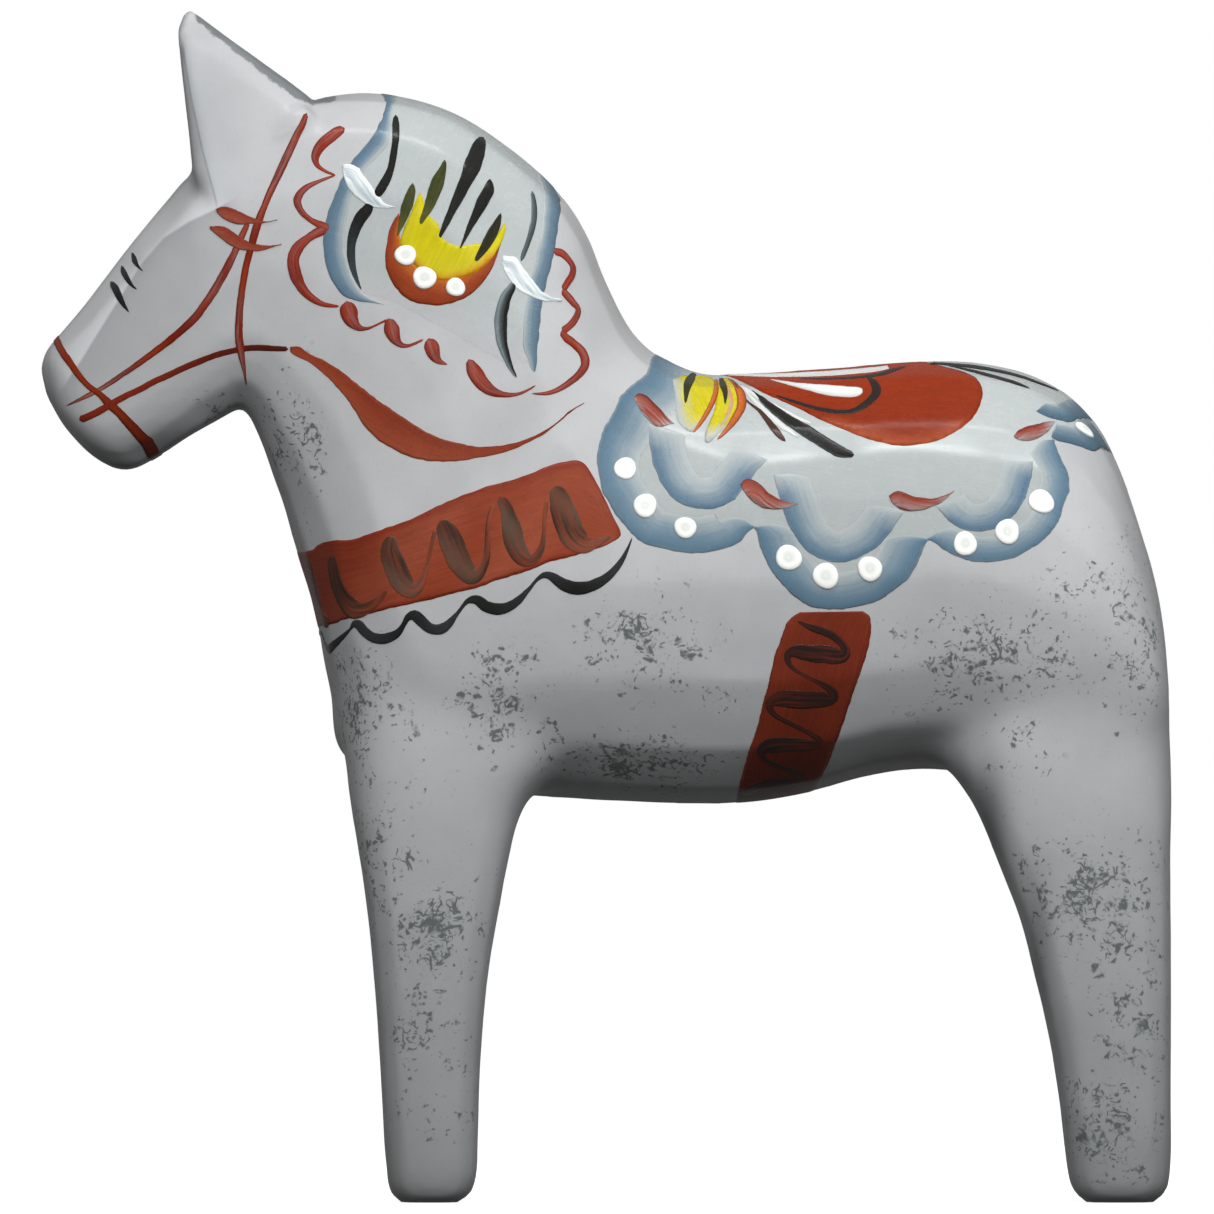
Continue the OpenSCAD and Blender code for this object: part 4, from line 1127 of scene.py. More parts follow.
rear_fade = fade((0, BL(66, 94, 112, 1)), (0.3, BL(78, 106, 124, 1)), (0.6, BL(88, 116, 134, 0.9)), (0.85, BL(96, 124, 142, 0.6)), (0.94, BL(100, 128, 146, 0.2)), (1, BL(100, 128, 146, 0)))
band(scallops, [(1050, 438), (1060, 442), (1080, 447), (1096, 451), (1110, 453)], 27, rear_fade, seed=9, inward=-1, ends=(0.8, 0))
INNER = [
    [(648, 424), (649, 440), (651, 455), (655, 470), (662, 485), (672, 498), (685, 506), (700, 509), (712, 509), (725, 505), (735, 499), (742, 490), (750, 480), (758, 470), (767, 460)],
    [(773, 475), (776, 488), (780, 503), (785, 518), (792, 533), (802, 547), (815, 557), (830, 562), (845, 562), (860, 557), (875, 548), (887, 536), (897, 522), (903, 512)],
    [(935, 507), (942, 515), (950, 523), (960, 529), (972, 532), (985, 531), (1000, 526), (1012, 516), (1022, 502), (1027, 488), (1031, 473), (1032, 462)],
]
for i, s in enumerate(INNER):
    band(scallops, s, (38, 38, 32)[i], inner_fade, seed=20 + i, h=0.00011, inward=-1, soft=0.13)
band(scallops, [(1035, 412), (1045, 417), (1060, 421), (1075, 421), (1092, 421)], 22, rear_fade, seed=31, h=0.00011, inward=-1, ends=(1, 0))
scallops.make()

dot_col = lambda pr: mix(srgb(252, 253, 249), srgb(206, 212, 204), np.exp(-((pr - 0.22) / 0.24) ** 2) * 0.55 + np.clip((pr - 0.88) * 4, 0, 0.4))
dots = Film("blanket_dots_white", "blanket_dots", "white_paint", M_WHITE)
for i, (u, v, r) in enumerate([(625, 469, 11.5), (645, 506, 12), (685, 528, 11), (788, 558, 13), (825, 576, 13), (869, 569, 12.5), (964, 544, 12), (1006, 532, 12.5), (1040, 502, 13)]):
    dots.dot(u, v, r, dot_col, chart=SIDE, h=0.0003, seed=i, lift=0.00008)
dots.dot(1084, 430, 12, dot_col, chart=BARREL, lift=0.00008, h=0.00026, r2=8, turn=0.5, seed=20)
dots.make()

tassel_col = lambda A, V: cover(mix(srgb(112, 34, 14), srgb(146, 56, 32), np.sin(np.pi * V)), np.clip(1.05 - 0.35 * V - 0.35 * np.clip(A * 3 - 2, 0, 1), 0, 1))
tassels = Film("blanket_tassels_red", "blanket_tassels", "rust_paint", M_TASSEL)
tassels.between([(634, 398), (638, 394), (645, 396), (652, 402), (660, 410), (668, 419), (674, 424)], [(634, 401), (640, 411), (648, 421), (655, 427), (663, 427), (670, 425), (674, 424.5)], tassel_col, h=0.00009, lift=0.00009, seed=1)
tassels.between([(740, 485), (745, 480), (752, 480), (760, 485), (768, 493), (776, 498), (786, 502), (797, 504)], [(742, 490), (750, 500), (760, 507), (772, 510), (784, 509), (790, 507), (797, 505)], tassel_col, h=0.00009, lift=0.00009, seed=2)
tassels.between([(888, 496), (892, 493), (900, 492), (910, 496), (920, 498), (932, 499), (943, 496), (953, 491)], [(890, 502), (897, 508), (905, 511), (918, 511), (928, 508), (940, 503), (947, 497), (953, 491.5)], tassel_col, h=0.00009, lift=0.00009, seed=3)
tassels.between([(1013, 436), (1017, 431), (1027, 427), (1040, 424), (1047, 422), (1053, 422)], [(1013, 438), (1020, 441), (1030, 441), (1040, 437), (1048, 431), (1053, 423)], tassel_col, h=0.00009, lift=0.00009, seed=4)
tassels.make()

seat = Film("saddle_seat_red", "saddle_seat", "red_paint", M_RED)
SEAT = [(720, 374), (735, 379), (745, 384), (760, 392), (780, 401), (800, 410), (815, 418), (830, 425), (850, 433), (865, 439), (880, 443), (895, 446), (910, 446),
        (925, 444), (940, 440), (955, 432), (968, 423), (977, 411), (982, 397), (981, 388), (976, 379), (965, 373), (950, 368.5), (935, 365), (918, 360)]
low_edge = BARREL.to2(*np.array([(830, 428), (850, 436), (880, 445), (910, 448), (935, 444), (960, 432)], float).T)


def seat_col(ab, dist, P):
    d = to_line(ab, low_edge)
    c = mix(srgb(146, 46, 3), srgb(134, 40, 2), np.clip((ab[:, 1] - 0.004) / 0.012, 0, 1))
    return mix(srgb(176, 88, 56), c, np.clip(d / 0.0026, 0, 1) ** 0.7)


seat.region(SEAT, seat_col, chart=BARREL, lift=0.00005, h=0.00006, spacing=0.0007, over=True, k=3, rim_w=0.0008, guide=(1, 0.12))
seat.make()

hi = Film("seat_highlight_strokes", "seat_highlights", "white_paint", M_WHITE)
hi.between([(770, 380), (785, 382), (800, 384), (830, 386), (850, 387.5), (858, 388), (862, 390)], [(772, 381), (785, 385), (800, 389), (825, 396), (845, 398), (857, 397), (862, 394)], fade((0, WHITE), (0.6, WHITE), (1, srgb(196, 190, 186))), chart=BARREL, lift=0.0001, h=0.00008)
hi.between([(728, 374.6), (770, 374.2), (820, 372), (850, 369.8), (875, 367.6), (887, 366.2)], [(728, 376), (770, 377.6), (820, 377), (850, 375), (875, 372.5), (889, 369.5)], fade((0, WHITE), (0.7, WHITE), (1, srgb(200, 192, 188))), chart=BARREL, lift=0.00009, h=0.00009, seed=2)
hi.between([(738, 385), (752, 392), (770, 402), (790, 413), (810, 423)], [(738, 387), (752, 396), (770, 407), (790, 418), (810, 425)], fade((0, srgb(226, 226, 222)), (1, srgb(206, 210, 208))), chart=BARREL, lift=0.00006, h=0.00008, seed=4)
hi.between([(744, 389), (752, 397), (766, 410), (782, 424), (798, 437)], [(744, 391), (752, 402), (764, 416), (780, 429), (797, 438.5)], fade((0, srgb(222, 224, 220)), (1, srgb(198, 203, 202))), chart=BARREL, lift=0.00006, h=0.00007, seed=5)
hi.make()

line = Film("seat_dark_line", "seat_line", "brown_paint", M_SEATLINE)
line.stroke([(775, 396, 2), (790, 401, 4), (805, 406, 5), (820, 410, 6), (840, 413, 7), (855, 411, 8), (868, 403, 9), (876, 393, 9), (874, 384, 8), (868, 378, 4)], BROWN_K, chart=BARREL, lift=0.0001, h=0.00008)
line.stroke([(800, 379, 2), (820, 379.5, 4), (840, 379, 5), (860, 378, 6), (880, 375, 7), (895, 370, 6), (905, 367, 3)], BROWN_K, chart=BARREL, lift=0.0001, h=0.00008, seed=3, wide=1.6)
line.make()

reeds = Film("saddle_reed_strokes", "saddle_reeds", "black_paint", M_BLACK)
reeds.between([(752, 391), (763.5, 398), (780, 408), (800, 421), (820, 433.5), (840, 446), (851, 452), (853.5, 455.5)], [(752.5, 392), (763.5, 406), (780, 421), (800, 435.5), (820, 448), (833, 456), (840, 458), (851, 458)], fade((0, srgb(60, 62, 60)), (0.3, BLACK), (0.75, BLACK), (1, srgb(70, 74, 74))), chart=BARREL, lift=0.00006, h=0.0001)
reeds.stroke([(744, 399, 2), (752, 406, 3), (760, 412, 4.5), (772, 427, 7), (780, 437, 6), (785, 442, 2)], srgb(70, 44, 34), chart=BARREL, lift=0.00009, h=0.00009, seed=1)
reeds.stroke([(930, 363.5, 5), (950, 365, 8), (975, 367.5, 10), (1000, 372, 9), (1020, 377, 8), (1040, 384, 6), (1058, 391, 3)], BLACK, chart=BARREL, lift=0.00009, h=0.00009, seed=2, wide=1.5)
reeds.stroke([(948, 366, 3), (966, 370, 6), (985, 375, 9), (1003, 380, 9), (1016, 384, 8), (1029, 389, 3)], BLACK, chart=BARREL, lift=0.00009, h=0.00009, seed=3, wide=1.15)
reeds.make()

wit = Film("withers_petals_yellow", "withers_petals", "yellow_paint", M_YELLOW)
P1 = [(672, 379), (674, 392), (675, 406), (676, 418), (682, 428), (692, 433), (700, 428), (706, 418), (712, 408), (716, 396), (716, 384), (710, 377), (700, 376), (686, 375)]
P2 = [(716, 384), (724, 378), (732, 380), (737, 388), (738, 400), (735, 412), (727, 424), (717, 436), (708, 444), (704, 440), (706, 430), (711, 418), (716, 404)]
low1 = BARREL.to2(*np.array([(671, 380), (672, 392), (675, 412), (682, 429), (693, 434), (701, 429)], float).T)
low2 = BARREL.to2(*np.array([(703, 436), (707, 445), (717, 437)], float).T)


def pet1(ab, dist, P):
    return cover(np.tile(YELLOW, (len(ab), 1)), np.clip(to_line(ab, low1) / 0.0026 - 0.05, 0, 1))


def pet2(ab, dist, P):
    return cover(np.tile(YELLOW, (len(ab), 1)), np.clip(to_line(ab, low2) / 0.0026 - 0.05, 0, 1))


rust_edge = fade((0, (*srgb(120, 40, 10), 1)), (0.25, (*srgb(176, 80, 16), 1)), (0.7, (*srgb(196, 104, 18), 0.95)), (1, (*srgb(140, 52, 12), 1)))
wit.region(P1, pet1, chart=BARREL, lift=0.000053, h=0.00006, edge=0.05, spacing=0.0005, k=3, guide=(0.35, 1))
wit.region(P2, pet2, chart=BARREL, lift=0.000056, h=0.00006, edge=0.05, spacing=0.0005, k=3, guide=(-0.35, 1), seed=3)
wit.stroke([(716, 380, 3), (716, 390, 5), (713, 401, 5.5), (707, 413, 5), (700, 424, 4), (693, 433, 2)], rust_edge, chart=BARREL, lift=0.0001, h=0.00008, seed=5)
wit.stroke([(728, 379, 3), (736, 386, 6), (741, 396, 9), (741, 408, 9), (734, 421, 8), (725, 432, 5), (717, 440, 2)], rust_edge, chart=BARREL, lift=0.00009, h=0.00008, seed=6)
wit.stroke([(732, 381, 2), (738, 390, 2.5), (740, 402, 2.5), (737, 414, 2)], srgb(112, 40, 10), chart=BARREL, lift=0.00015, h=0.00004, seed=7)
wit.stroke([(722, 382, 2), (728, 390, 4), (731, 402, 4), (728, 415, 4), (720, 428, 2)], lambda A, V: cover(np.broadcast_to(srgb(206, 128, 20), A.shape + (3,)), 0.8 - 0.4 * A), chart=BARREL, lift=0.00011, h=0.00005, seed=8)
wit.make()
ws = Film("withers_seed_strokes", "withers_seeds", "olive_paint", M_OLIVE)
ws.stroke([(694, 374, 5), (690, 380, 9), (687, 387, 8), (686, 395, 5), (685, 404, 2)], srgb(46, 48, 16), chart=BARREL, lift=0.00013, h=0.00007)
ws.stroke([(721, 379, 4), (723, 386, 7), (725, 394, 5), (725, 405, 1.5)], srgb(52, 46, 14), chart=BARREL, lift=0.00014, h=0.00007, seed=2)
ws.make()

# ------------------------------------------------------------------ girth
girth = Film("girth_band_rust", "girth_band", "rust_paint", M_RUST)
GL = [(799, 612), (790, 618), (785, 625), (780, 640), (774, 655), (770, 675), (766, 690), (762, 705), (758, 722), (752, 740), (747, 755), (743, 770), (739, 785), (737, 797), (736, 806)]
GR = [(862, 611), (869, 616), (870, 625), (869, 640), (865, 656), (861, 668), (857, 680), (851, 697), (846, 712), (841, 727), (835, 743), (829, 760), (823, 772), (817, 783), (812, 796)]
girth.between(GL, GR, lambda A, V: mix(srgb(120, 48, 30), srgb(106, 38, 22), A) * (1 - 0.12 * np.exp(-((V - 0.5) / 0.25) ** 2))[..., None], chart=BARREL, h=0.00008, rows=17, taper=([0, 0.05, 0.95, 1], [0.5, 1, 1, 0.5]))
girth.make()
gs = Film("girth_scroll_strokes", "girth_scroll", "brown_paint", M_BROWN_G)
SNAKE = [(797, 621, 2), (810, 627, 5), (822, 631, 6), (833, 636, 6), (842, 644, 6), (845, 652, 8), (839, 656, 12), (825, 654, 14), (810, 653, 13), (795, 651, 10), (787, 655, 6), (788, 663, 4), (795, 670, 3),
         (810, 678, 3), (823, 684, 5), (832, 691, 7), (832, 698, 9), (820, 699, 14), (800, 699, 15), (783, 698, 14), (772, 701, 10), (769, 707, 6), (775, 715, 4), (788, 722, 4), (803, 729, 4), (815, 736, 5),
         (819, 741, 7), (810, 744, 12), (790, 744, 14), (770, 745, 14), (761, 750, 8), (764, 758, 4), (775, 764, 4), (790, 769, 5), (800, 775, 6), (798, 781, 9), (785, 782, 13), (768, 783, 15), (753, 788, 12), (746, 794, 6)]
gs.stroke([(u, v, w * 1.3) for u, v, w in SNAKE], lambda A, V: cover(BROWN_K, 0.80 + 0.05 * np.cos(2 * np.pi * V) + 0.1 * np.sin(A * 37)), chart=BARREL, lift=0.00008, h=0.00006, k=4)
gs.make()

# ------------------------------------------------------------------ breast collar
CU = [(300, 552), (310, 551), (318, 545), (330, 541), (350, 540), (370, 534), (390, 527), (410, 520), (430, 510), (450, 501), (470, 493), (490, 486), (510, 481), (530, 474), (550, 466), (565, 462), (578, 461), (587, 467), (595, 480), (602, 493), (609, 508), (615, 520), (620, 530)]
CL = [(322, 627), (331, 624), (340, 621), (350, 618), (360, 616), (380, 611), (400, 606), (420, 602), (440, 597), (460, 592), (480, 587), (495, 581), (515, 575), (535, 568), (550, 562), (570, 557), (590, 551), (605, 546), (613, 542), (619, 538), (621, 535)]
collar = Film("breast_collar_band", "breast_collar", "rust_paint", M_RUST)


def two_sided(film, ea, eb, col, chart, h, rows, step=0.0005, taper=([0, 0.06, 0.94, 1], [0.5, 1, 1, 0.5]), rough=0.00007):
    """An area between two edges that starts on the middle line, carried over it to the other side."""
    A, Bq = chart.to2(*np.asarray(ea, float).T), chart.to2(*np.asarray(eb, float).T)
    ax = 0 if chart is CHEST else 1
    A[0, ax] = Bq[0, ax] = 0
    A, Bq = catmull(A, 4), catmull(Bq, 4)
    sign = np.array([-1, 1]) if chart is CHEST else np.array([1, -1])
    A = np.concatenate([(A * sign)[::-1][:-1], A])
    Bq = np.concatenate([(Bq * sign)[::-1][:-1], Bq])
    la = np.linalg.norm(np.diff(A, axis=0), axis=1).sum()
    n = int(la / step)

    def even(P):
        d = np.concatenate([[0], np.cumsum(np.linalg.norm(np.diff(P, axis=0), axis=1))])
        t = np.linspace(0, d[-1], n)
        return np.stack([np.interp(t, d, P[:, 0]), np.interp(t, d, P[:, 1])], axis=1)
    A, Bq = even(A), even(Bq)
    al = np.linspace(0, la, n)
    span = (Bq - A) / (np.linalg.norm(Bq - A, axis=1)[:, None] + 1e-9)
    A = A + span * (rough * noise1(al, film.seed, 0.0008))[:, None]
    Bq = Bq + span * (rough * noise1(al, film.seed + 1, 0.0008))[:, None]
    r = np.linspace(0, 1, rows)
    G = A[None] * (1 - r[:, None, None]) + Bq[None] * r[:, None, None]
    P, N = chart.to3(G.reshape(-1, 2), 1)
    hh = (h * np.interp(r, *taper))[:, None] * np.ones(n)[None]
    Au = np.tile(np.abs(np.linspace(-1, 1, n))[None], (rows, 1))
    Vu = np.tile(r[:, None], (1, n))
    brush = np.stack([np.tile(al[None], (rows, 1)), Vu * 0.011, np.full(Vu.shape, film.seed * 0.013)], axis=-1)
    film.grid(P.reshape(rows, n, 3), N.reshape(rows, n, 3), hh, col(Au, Vu), brush)


def collar_col(A, V):
    c = mix(srgb(138, 60, 36), srgb(150, 74, 52), 0.5 + 0.5 * np.sin(A * 17 + V * 3))
    c = mix(c, srgb(112, 34, 14), np.clip(1.15 - A * 2.2, 0, 1) * 0.85)
    rim_ = np.exp(-(V / 0.07) ** 2) + np.exp(-((1 - V) / 0.035) ** 2) + np.exp(-((1 - A) / 0.02) ** 2)
    return mix(c, srgb(118, 30, 12), np.clip(rim_, 0, 1) * 0.75)


two_sided(collar, CU, CL, collar_col, CHEST, 0.00008, 25)
collar.make()

SCROLL_U = [
    [(309, 562, 10), (313, 580, 12), (318, 600, 13), (323, 616, 12), (330, 622, 8)],
    [(332, 555, 8), (334, 568, 11), (338, 585, 13), (345, 600, 13), (355, 609, 12), (368, 608, 8), (380, 600, 5), (388, 590, 2)],
    [(393, 536, 7), (391, 550, 12), (396, 568, 14), (403, 582, 14), (413, 590, 10), (422, 584, 5), (427, 570, 3.5), (431, 550, 3), (436, 530, 3)],
    [(441, 521, 8), (448, 533, 13), (455, 550, 15), (462, 565, 14), (472, 576, 11), (481, 572, 7), (487, 558, 5), (488, 540, 4), (489, 520, 3), (494, 505, 3)],
    [(500, 498, 7), (507, 510, 9), (512, 530, 12), (515, 545, 12), (523, 557, 11), (533, 560, 8), (541, 550, 5), (544, 535, 3), (545, 515, 3), (547, 500, 3)],
    [(554, 487, 9), (560, 500, 13), (566, 520, 16), (573, 535, 16), (583, 544, 13), (593, 544, 8), (604, 540, 4), (611, 537, 1)],
]
cs = Film("collar_scroll_strokes", "collar_scroll", "brown_paint", M_BROWN)
for i, s in enumerate(SCROLL_U):
    s = [(u, v, w * 1.62 if w > 9 else w * 1.4) for u, v, w in s]
    def glaze(A, V, i=i):
        body_ = mix(srgb(54, 40, 32), srgb(88, 70, 58), 0.5 + 0.5 * np.sin(V * 3 + A * 9 + i))
        if i < 2:
            body_ = mix(body_, srgb(40, 26, 20), 0.75)
        return cover(body_, 0.84 + 0.06 * np.cos(2 * np.pi * V) - 0.32 * np.clip((A - 0.4) * 2.5, 0, 1))
    cs.stroke(s, glaze, chart=CHEST, lift=0.00008, h=0.00006, rows=11, seed=i, k=6)
cs.make()

FRINGE = [(322, 632, 3), (326, 645, 5), (330, 649, 7), (336, 643, 6), (344, 636, 4), (351, 629, 2.5), (354, 624, 5), (360, 625, 8), (366, 632, 8), (376, 638, 8), (388, 638, 8), (398, 633, 6), (404, 625, 4), (408, 618, 5),
          (414, 615, 8), (421, 620, 9), (430, 628, 8), (441, 629, 8), (450, 623, 6), (458, 613, 3), (465, 604, 3), (470, 600, 5), (478, 600, 8), (486, 606, 9), (497, 609, 9), (508, 607, 8), (519, 600, 6), (530, 588, 3),
          (538, 579, 3), (545, 575, 5), (553, 577, 7), (563, 584, 9), (575, 588, 10), (588, 587, 9), (600, 582, 8), (612, 573, 6), (622, 560, 4), (628, 548, 2), (632, 538, 1)]
fr = Film("collar_fringe_line", "collar_fringe", "black_paint", M_BLACK)
fr.stroke(FRINGE, lambda A, V: mix(BLACK, srgb(54, 58, 58), 0.3 + 0.3 * np.sin(A * 60)), chart=CHEST, lift=0.00002, h=0.00012, k=4, mirror_over="start", wide=1.3)
fr.make()

# ------------------------------------------------------------------ mane
LL = [(381, 93), (386, 107), (384, 114), (378, 128), (369, 142), (360, 153), (352, 163), (345, 174), (340, 184), (335, 195), (331, 205), (327, 220), (324, 240), (325, 255), (328, 270), (335, 285), (345, 297), (360, 302)]
LI = [(400, 93), (396, 104), (393, 112), (391, 125), (390, 140), (384, 152), (374, 162), (364, 172), (358, 184), (352, 197), (350, 205), (347, 220), (345, 240), (346, 255), (350, 270), (357, 285), (366, 296), (384, 305)]
RO = [(553, 188), (559, 197), (560, 205), (560, 215), (557, 235), (554, 255), (549, 275), (545, 290), (542, 305), (540, 325), (538, 345), (537, 362), (535, 372)]
RI = [(534, 170), (542, 188), (544, 203), (543, 220), (540, 240), (536, 260), (530, 280), (527, 300), (524, 320), (523, 340), (527, 358), (531, 370), (534, 373)]
PANEL_LOW = [(366, 302), (390, 309), (420, 325), (450, 342), (480, 362), (505, 377), (535, 374)]
panel = Film("mane_panel_field", "mane_panel", "pale_field_paint", M_FIELD)
mid_l = [(386, 92), (388, 107), (386, 118), (382, 130), (374, 145), (364, 157), (355, 168), (350, 180), (343, 192), (340, 205), (336, 220), (334, 240), (335, 255), (339, 270), (346, 285), (356, 297)]
mid_r = [(532, 368), (531, 350), (532, 325), (534, 305), (538, 285), (542, 265), (548, 243), (551, 220), (551, 205), (548, 193), (545, 180)]
low_line = SWEEP.to2(*np.array(PANEL_LOW, float).T)


def panel_col(ab, dist, P):
    return cover(np.tile(FIELD, (len(ab), 1)), np.clip((to_line(ab, low_line) - 0.0012) / 0.0035, 0, 1))


def panel_height(ab, hh):
    """The lower edge of the panel runs out to nothing, just under the ground coat."""
    return hh - 0.0001 * np.clip(1 - to_line(ab, low_line) / 0.003, 0, 1) ** 1.5


panel.region(mid_l + PANEL_LOW[:-1] + mid_r, panel_col, chart=SWEEP, h=0.00005, spacing=0.0007, over=True, k=2, guide=(0, 1), rough=0.0, edge=0.5, rim_w=0.002, height=panel_height)
panel.make()

lock_fade = fade((0, BL(80, 108, 128, 0.75)), (0.06, BL(80, 108, 128, 1)), (0.5, BL(90, 118, 138, 0.92)), (0.78, BL(98, 126, 144, 0.5)), (1, BL(100, 128, 146, 0.0)))
rlock_fade = fade((0, BL(76, 102, 120, 0.75)), (0.06, BL(76, 102, 120, 1)), (0.52, BL(88, 115, 134, 0.92)), (0.82, BL(98, 125, 143, 0.5)), (1, BL(100, 128, 146, 0.0)))
locks = Film("mane_locks_blue", "mane_locks", "blue_paint", M_BLUE)


def lock(film, ea, eb, cols, rows=13, seed=0, h=0.00009):
    two_sided(film, ea, eb, cols, SWEEP, h, rows, step=0.00045, taper=([0, 0.08, 0.6, 1], [0.45, 1, 0.9, 0.6]), rough=0.00012)


lock(locks, LL, LI, lambda A, V: lock_fade(A, V))
lock(locks, RO, RI, lambda A, V: rlock_fade(A, V))
locks.make()

ll = Film("mane_lock_dark_lines", "mane_lock_lines", "black_paint", M_BLACK)
ll.stroke([(396, 116, 4), (396, 125, 7), (396, 140, 7), (394, 155, 7), (391, 170, 7), (386, 182, 9), (380, 192, 9), (375, 199, 5)], BLACK, chart=SWEEP, lift=0.00007, h=0.00009)
ll.stroke([(371, 203, 6), (368, 210, 11), (361, 219, 12), (355, 232, 10.5), (352, 245, 9), (352, 258, 8), (354, 270, 6), (358, 282, 3.5), (362, 290, 1)], lambda A, V: mix(BLACK, srgb(66, 78, 84), np.clip(A * 1.3 - 0.3, 0, 1) * 0.7), chart=SWEEP, lift=0.00007, h=0.00009, seed=1)
ll.stroke([(532, 192, 4), (534, 205, 6), (534, 218, 6.5), (532, 230, 6), (528, 243, 5), (524, 254, 5), (521, 262, 3)], lambda A, V: mix(srgb(50, 54, 54), srgb(96, 106, 110), V), chart=SWEEP, lift=0.00007, h=0.00009, seed=2)
ll.stroke([(514, 282, 5), (512, 288, 8), (507, 296, 11), (503, 308, 12.5), (501, 322, 13), (502, 340, 11), (506, 355, 8), (511, 368, 5), (517, 378, 2)], lambda A, V: mix(BLACK, srgb(110, 122, 126), np.clip((V - 0.42) * 3.5, 0, 1)), chart=SWEEP, lift=0.00007, h=0.00009, seed=3)
ll.make()

W4 = lambda a: (*srgb(232, 237, 236), a)
feather = fade((0, W4(1)), (0.16, W4(0.9)), (0.42, W4(0.5)), (0.66, W4(0.28)), (0.86, W4(0.8)), (1, W4(1)))
fe = Film("mane_feathers_white", "mane_feathers", "white_paint", M_WHITE)
fe.between([(343, 166), (350, 165.5), (358, 168), (363, 175), (372, 187), (380, 198), (387, 205), (396, 208)], [(343, 170), (345, 180), (350, 190), (358, 199), (368, 206), (378, 208.5), (388, 209), (396, 208.5)],
           feather, chart=SWEEP, lift=0.00009, h=0.00007, rows=11)
fe.between([(503, 256), (508, 257), (515, 258), (521, 265), (528, 275), (536, 285), (545, 295), (562, 301)], [(502, 263), (505, 272), (511, 282), (518, 290), (528, 296), (540, 300), (550, 302), (562, 301.8)],
           feather, chart=SWEEP, lift=0.00009, h=0.00007, rows=11, seed=2)
fe.make()

ms = Film("mane_scroll_red", "mane_scroll", "red_paint", M_RED)
SCROLLS = [
    [(345, 129, 7), (340, 131, 9), (330, 138.5, 10), (321, 147, 9), (316, 157, 7), (318, 166, 4), (326, 172, 2.5), (336, 176, 2)],
    [(336, 176, 1.5), (320, 182, 3), (306, 189, 5), (298, 200, 6.5), (302, 212, 5), (312, 221, 4.5), (324, 227, 7), (330, 230, 5)],
    [(328, 229, 5), (321, 232, 8), (310, 238, 7), (299, 248, 9), (294, 260, 10), (296, 274, 10), (303, 289, 8), (313, 299, 6), (325, 305, 4), (340, 307, 2)],
    [(347, 302, 9), (349, 310, 14), (352, 320, 12), (359, 328, 6), (368, 329, 2.5), (378, 325, 1.5), (388, 320, 2)],
    [(389, 319, 6), (392, 329, 13), (395, 338, 10), (401, 345, 5), (410, 346, 2.5), (424, 340, 2)],
    [(429, 339, 6), (432, 347, 12), (435, 356, 10), (440, 362, 5), (448, 365, 1)],
    [(469, 360, 5), (474, 371, 12), (481, 382, 12), (491, 391, 9), (503, 395, 5), (515, 395, 3), (525, 392, 2), (536, 386, 1)],
    [(553, 252, 6), (562, 254, 8), (569, 261, 7), (573, 268, 7), (572, 276, 6.5), (567, 284, 6), (563, 291, 5)],
    [(562, 291, 5), (567, 296, 7), (573, 303, 7), (578, 310, 6), (576, 318, 6), (570, 326, 6), (562, 332, 6)],
    [(561, 332, 5), (567, 339, 7), (575, 345, 7), (582, 352, 8), (585, 360, 8), (584, 368, 7), (578, 376, 6), (568, 384, 5), (556, 391, 4), (545, 394, 3), (532, 394, 1)],
]
for i, s in enumerate(SCROLLS):
    ms.stroke(s, lambda A, V: cover(mix(srgb(116, 28, 6), srgb(146, 46, 14), np.sin(np.pi * V) * (0.6 + 0.4 * np.sin(A * 9))), 1 - 0.07 * np.sin(np.pi * V)), chart=SIDE, lift=0.00003, h=0.00011, seed=i, wide=1.22)
ms.make()

cup = Film("mane_flower_cup_red", "flower_cup", "orange_paint", M_CUP)
CUP_OUT = [(399, 214), (392, 225), (388, 240), (386, 255), (387, 270), (392, 282), (400, 293), (412, 302), (425, 305), (440, 306), (455, 303), (470, 296), (482, 285), (492, 270), (498, 255), (503, 238)]
CUP_IN = [(402, 222), (400, 232), (401, 240), (404, 248), (408, 255), (414, 261), (421, 266), (430, 270), (440, 273), (450, 274), (460, 272), (470, 268), (478, 262), (486, 254), (494, 245), (502, 236)]
cup.between(CUP_OUT, CUP_IN, fade((0, srgb(130, 48, 16)), (0.4, srgb(146, 58, 20)), (0.75, srgb(176, 88, 22)), (1, srgb(196, 130, 20))), lift=0.00005, h=0.00006, rows=13)
cup.make()
pe = Film("mane_flower_petals_yellow", "flower_petals", "yellow_paint", M_YELLOW)
PETALS = [(400, 246), (402, 236), (406, 226), (412, 212), (417, 200), (421, 193), (425, 205), (429, 216), (434, 221), (438, 224), (441, 235), (448, 243), (460, 247), (478, 244), (487, 243), (497, 236), (504, 224), (506, 228), (503, 240),
          (498, 250), (490, 262), (478, 272), (466, 277), (452, 280), (440, 281), (428, 275), (414, 264), (405, 255)]
pet_low = SIDE.to2(*np.array([(402, 250), (413, 263), (428, 275), (440, 281), (452, 280), (466, 277), (478, 272), (492, 259)], float).T)
pe.region(PETALS, lambda ab, d, P: mix(srgb(196, 128, 24), YELLOW, np.clip(to_line(ab, pet_low) / 0.0013, 0, 1)), lift=0.00009, h=0.00006, spacing=0.0005, k=2, guide=(0.5, 1), rim_w=0.0004)
pe.make()
se = Film("mane_flower_seed_strokes", "flower_seeds", "black_paint", M_BLACK)
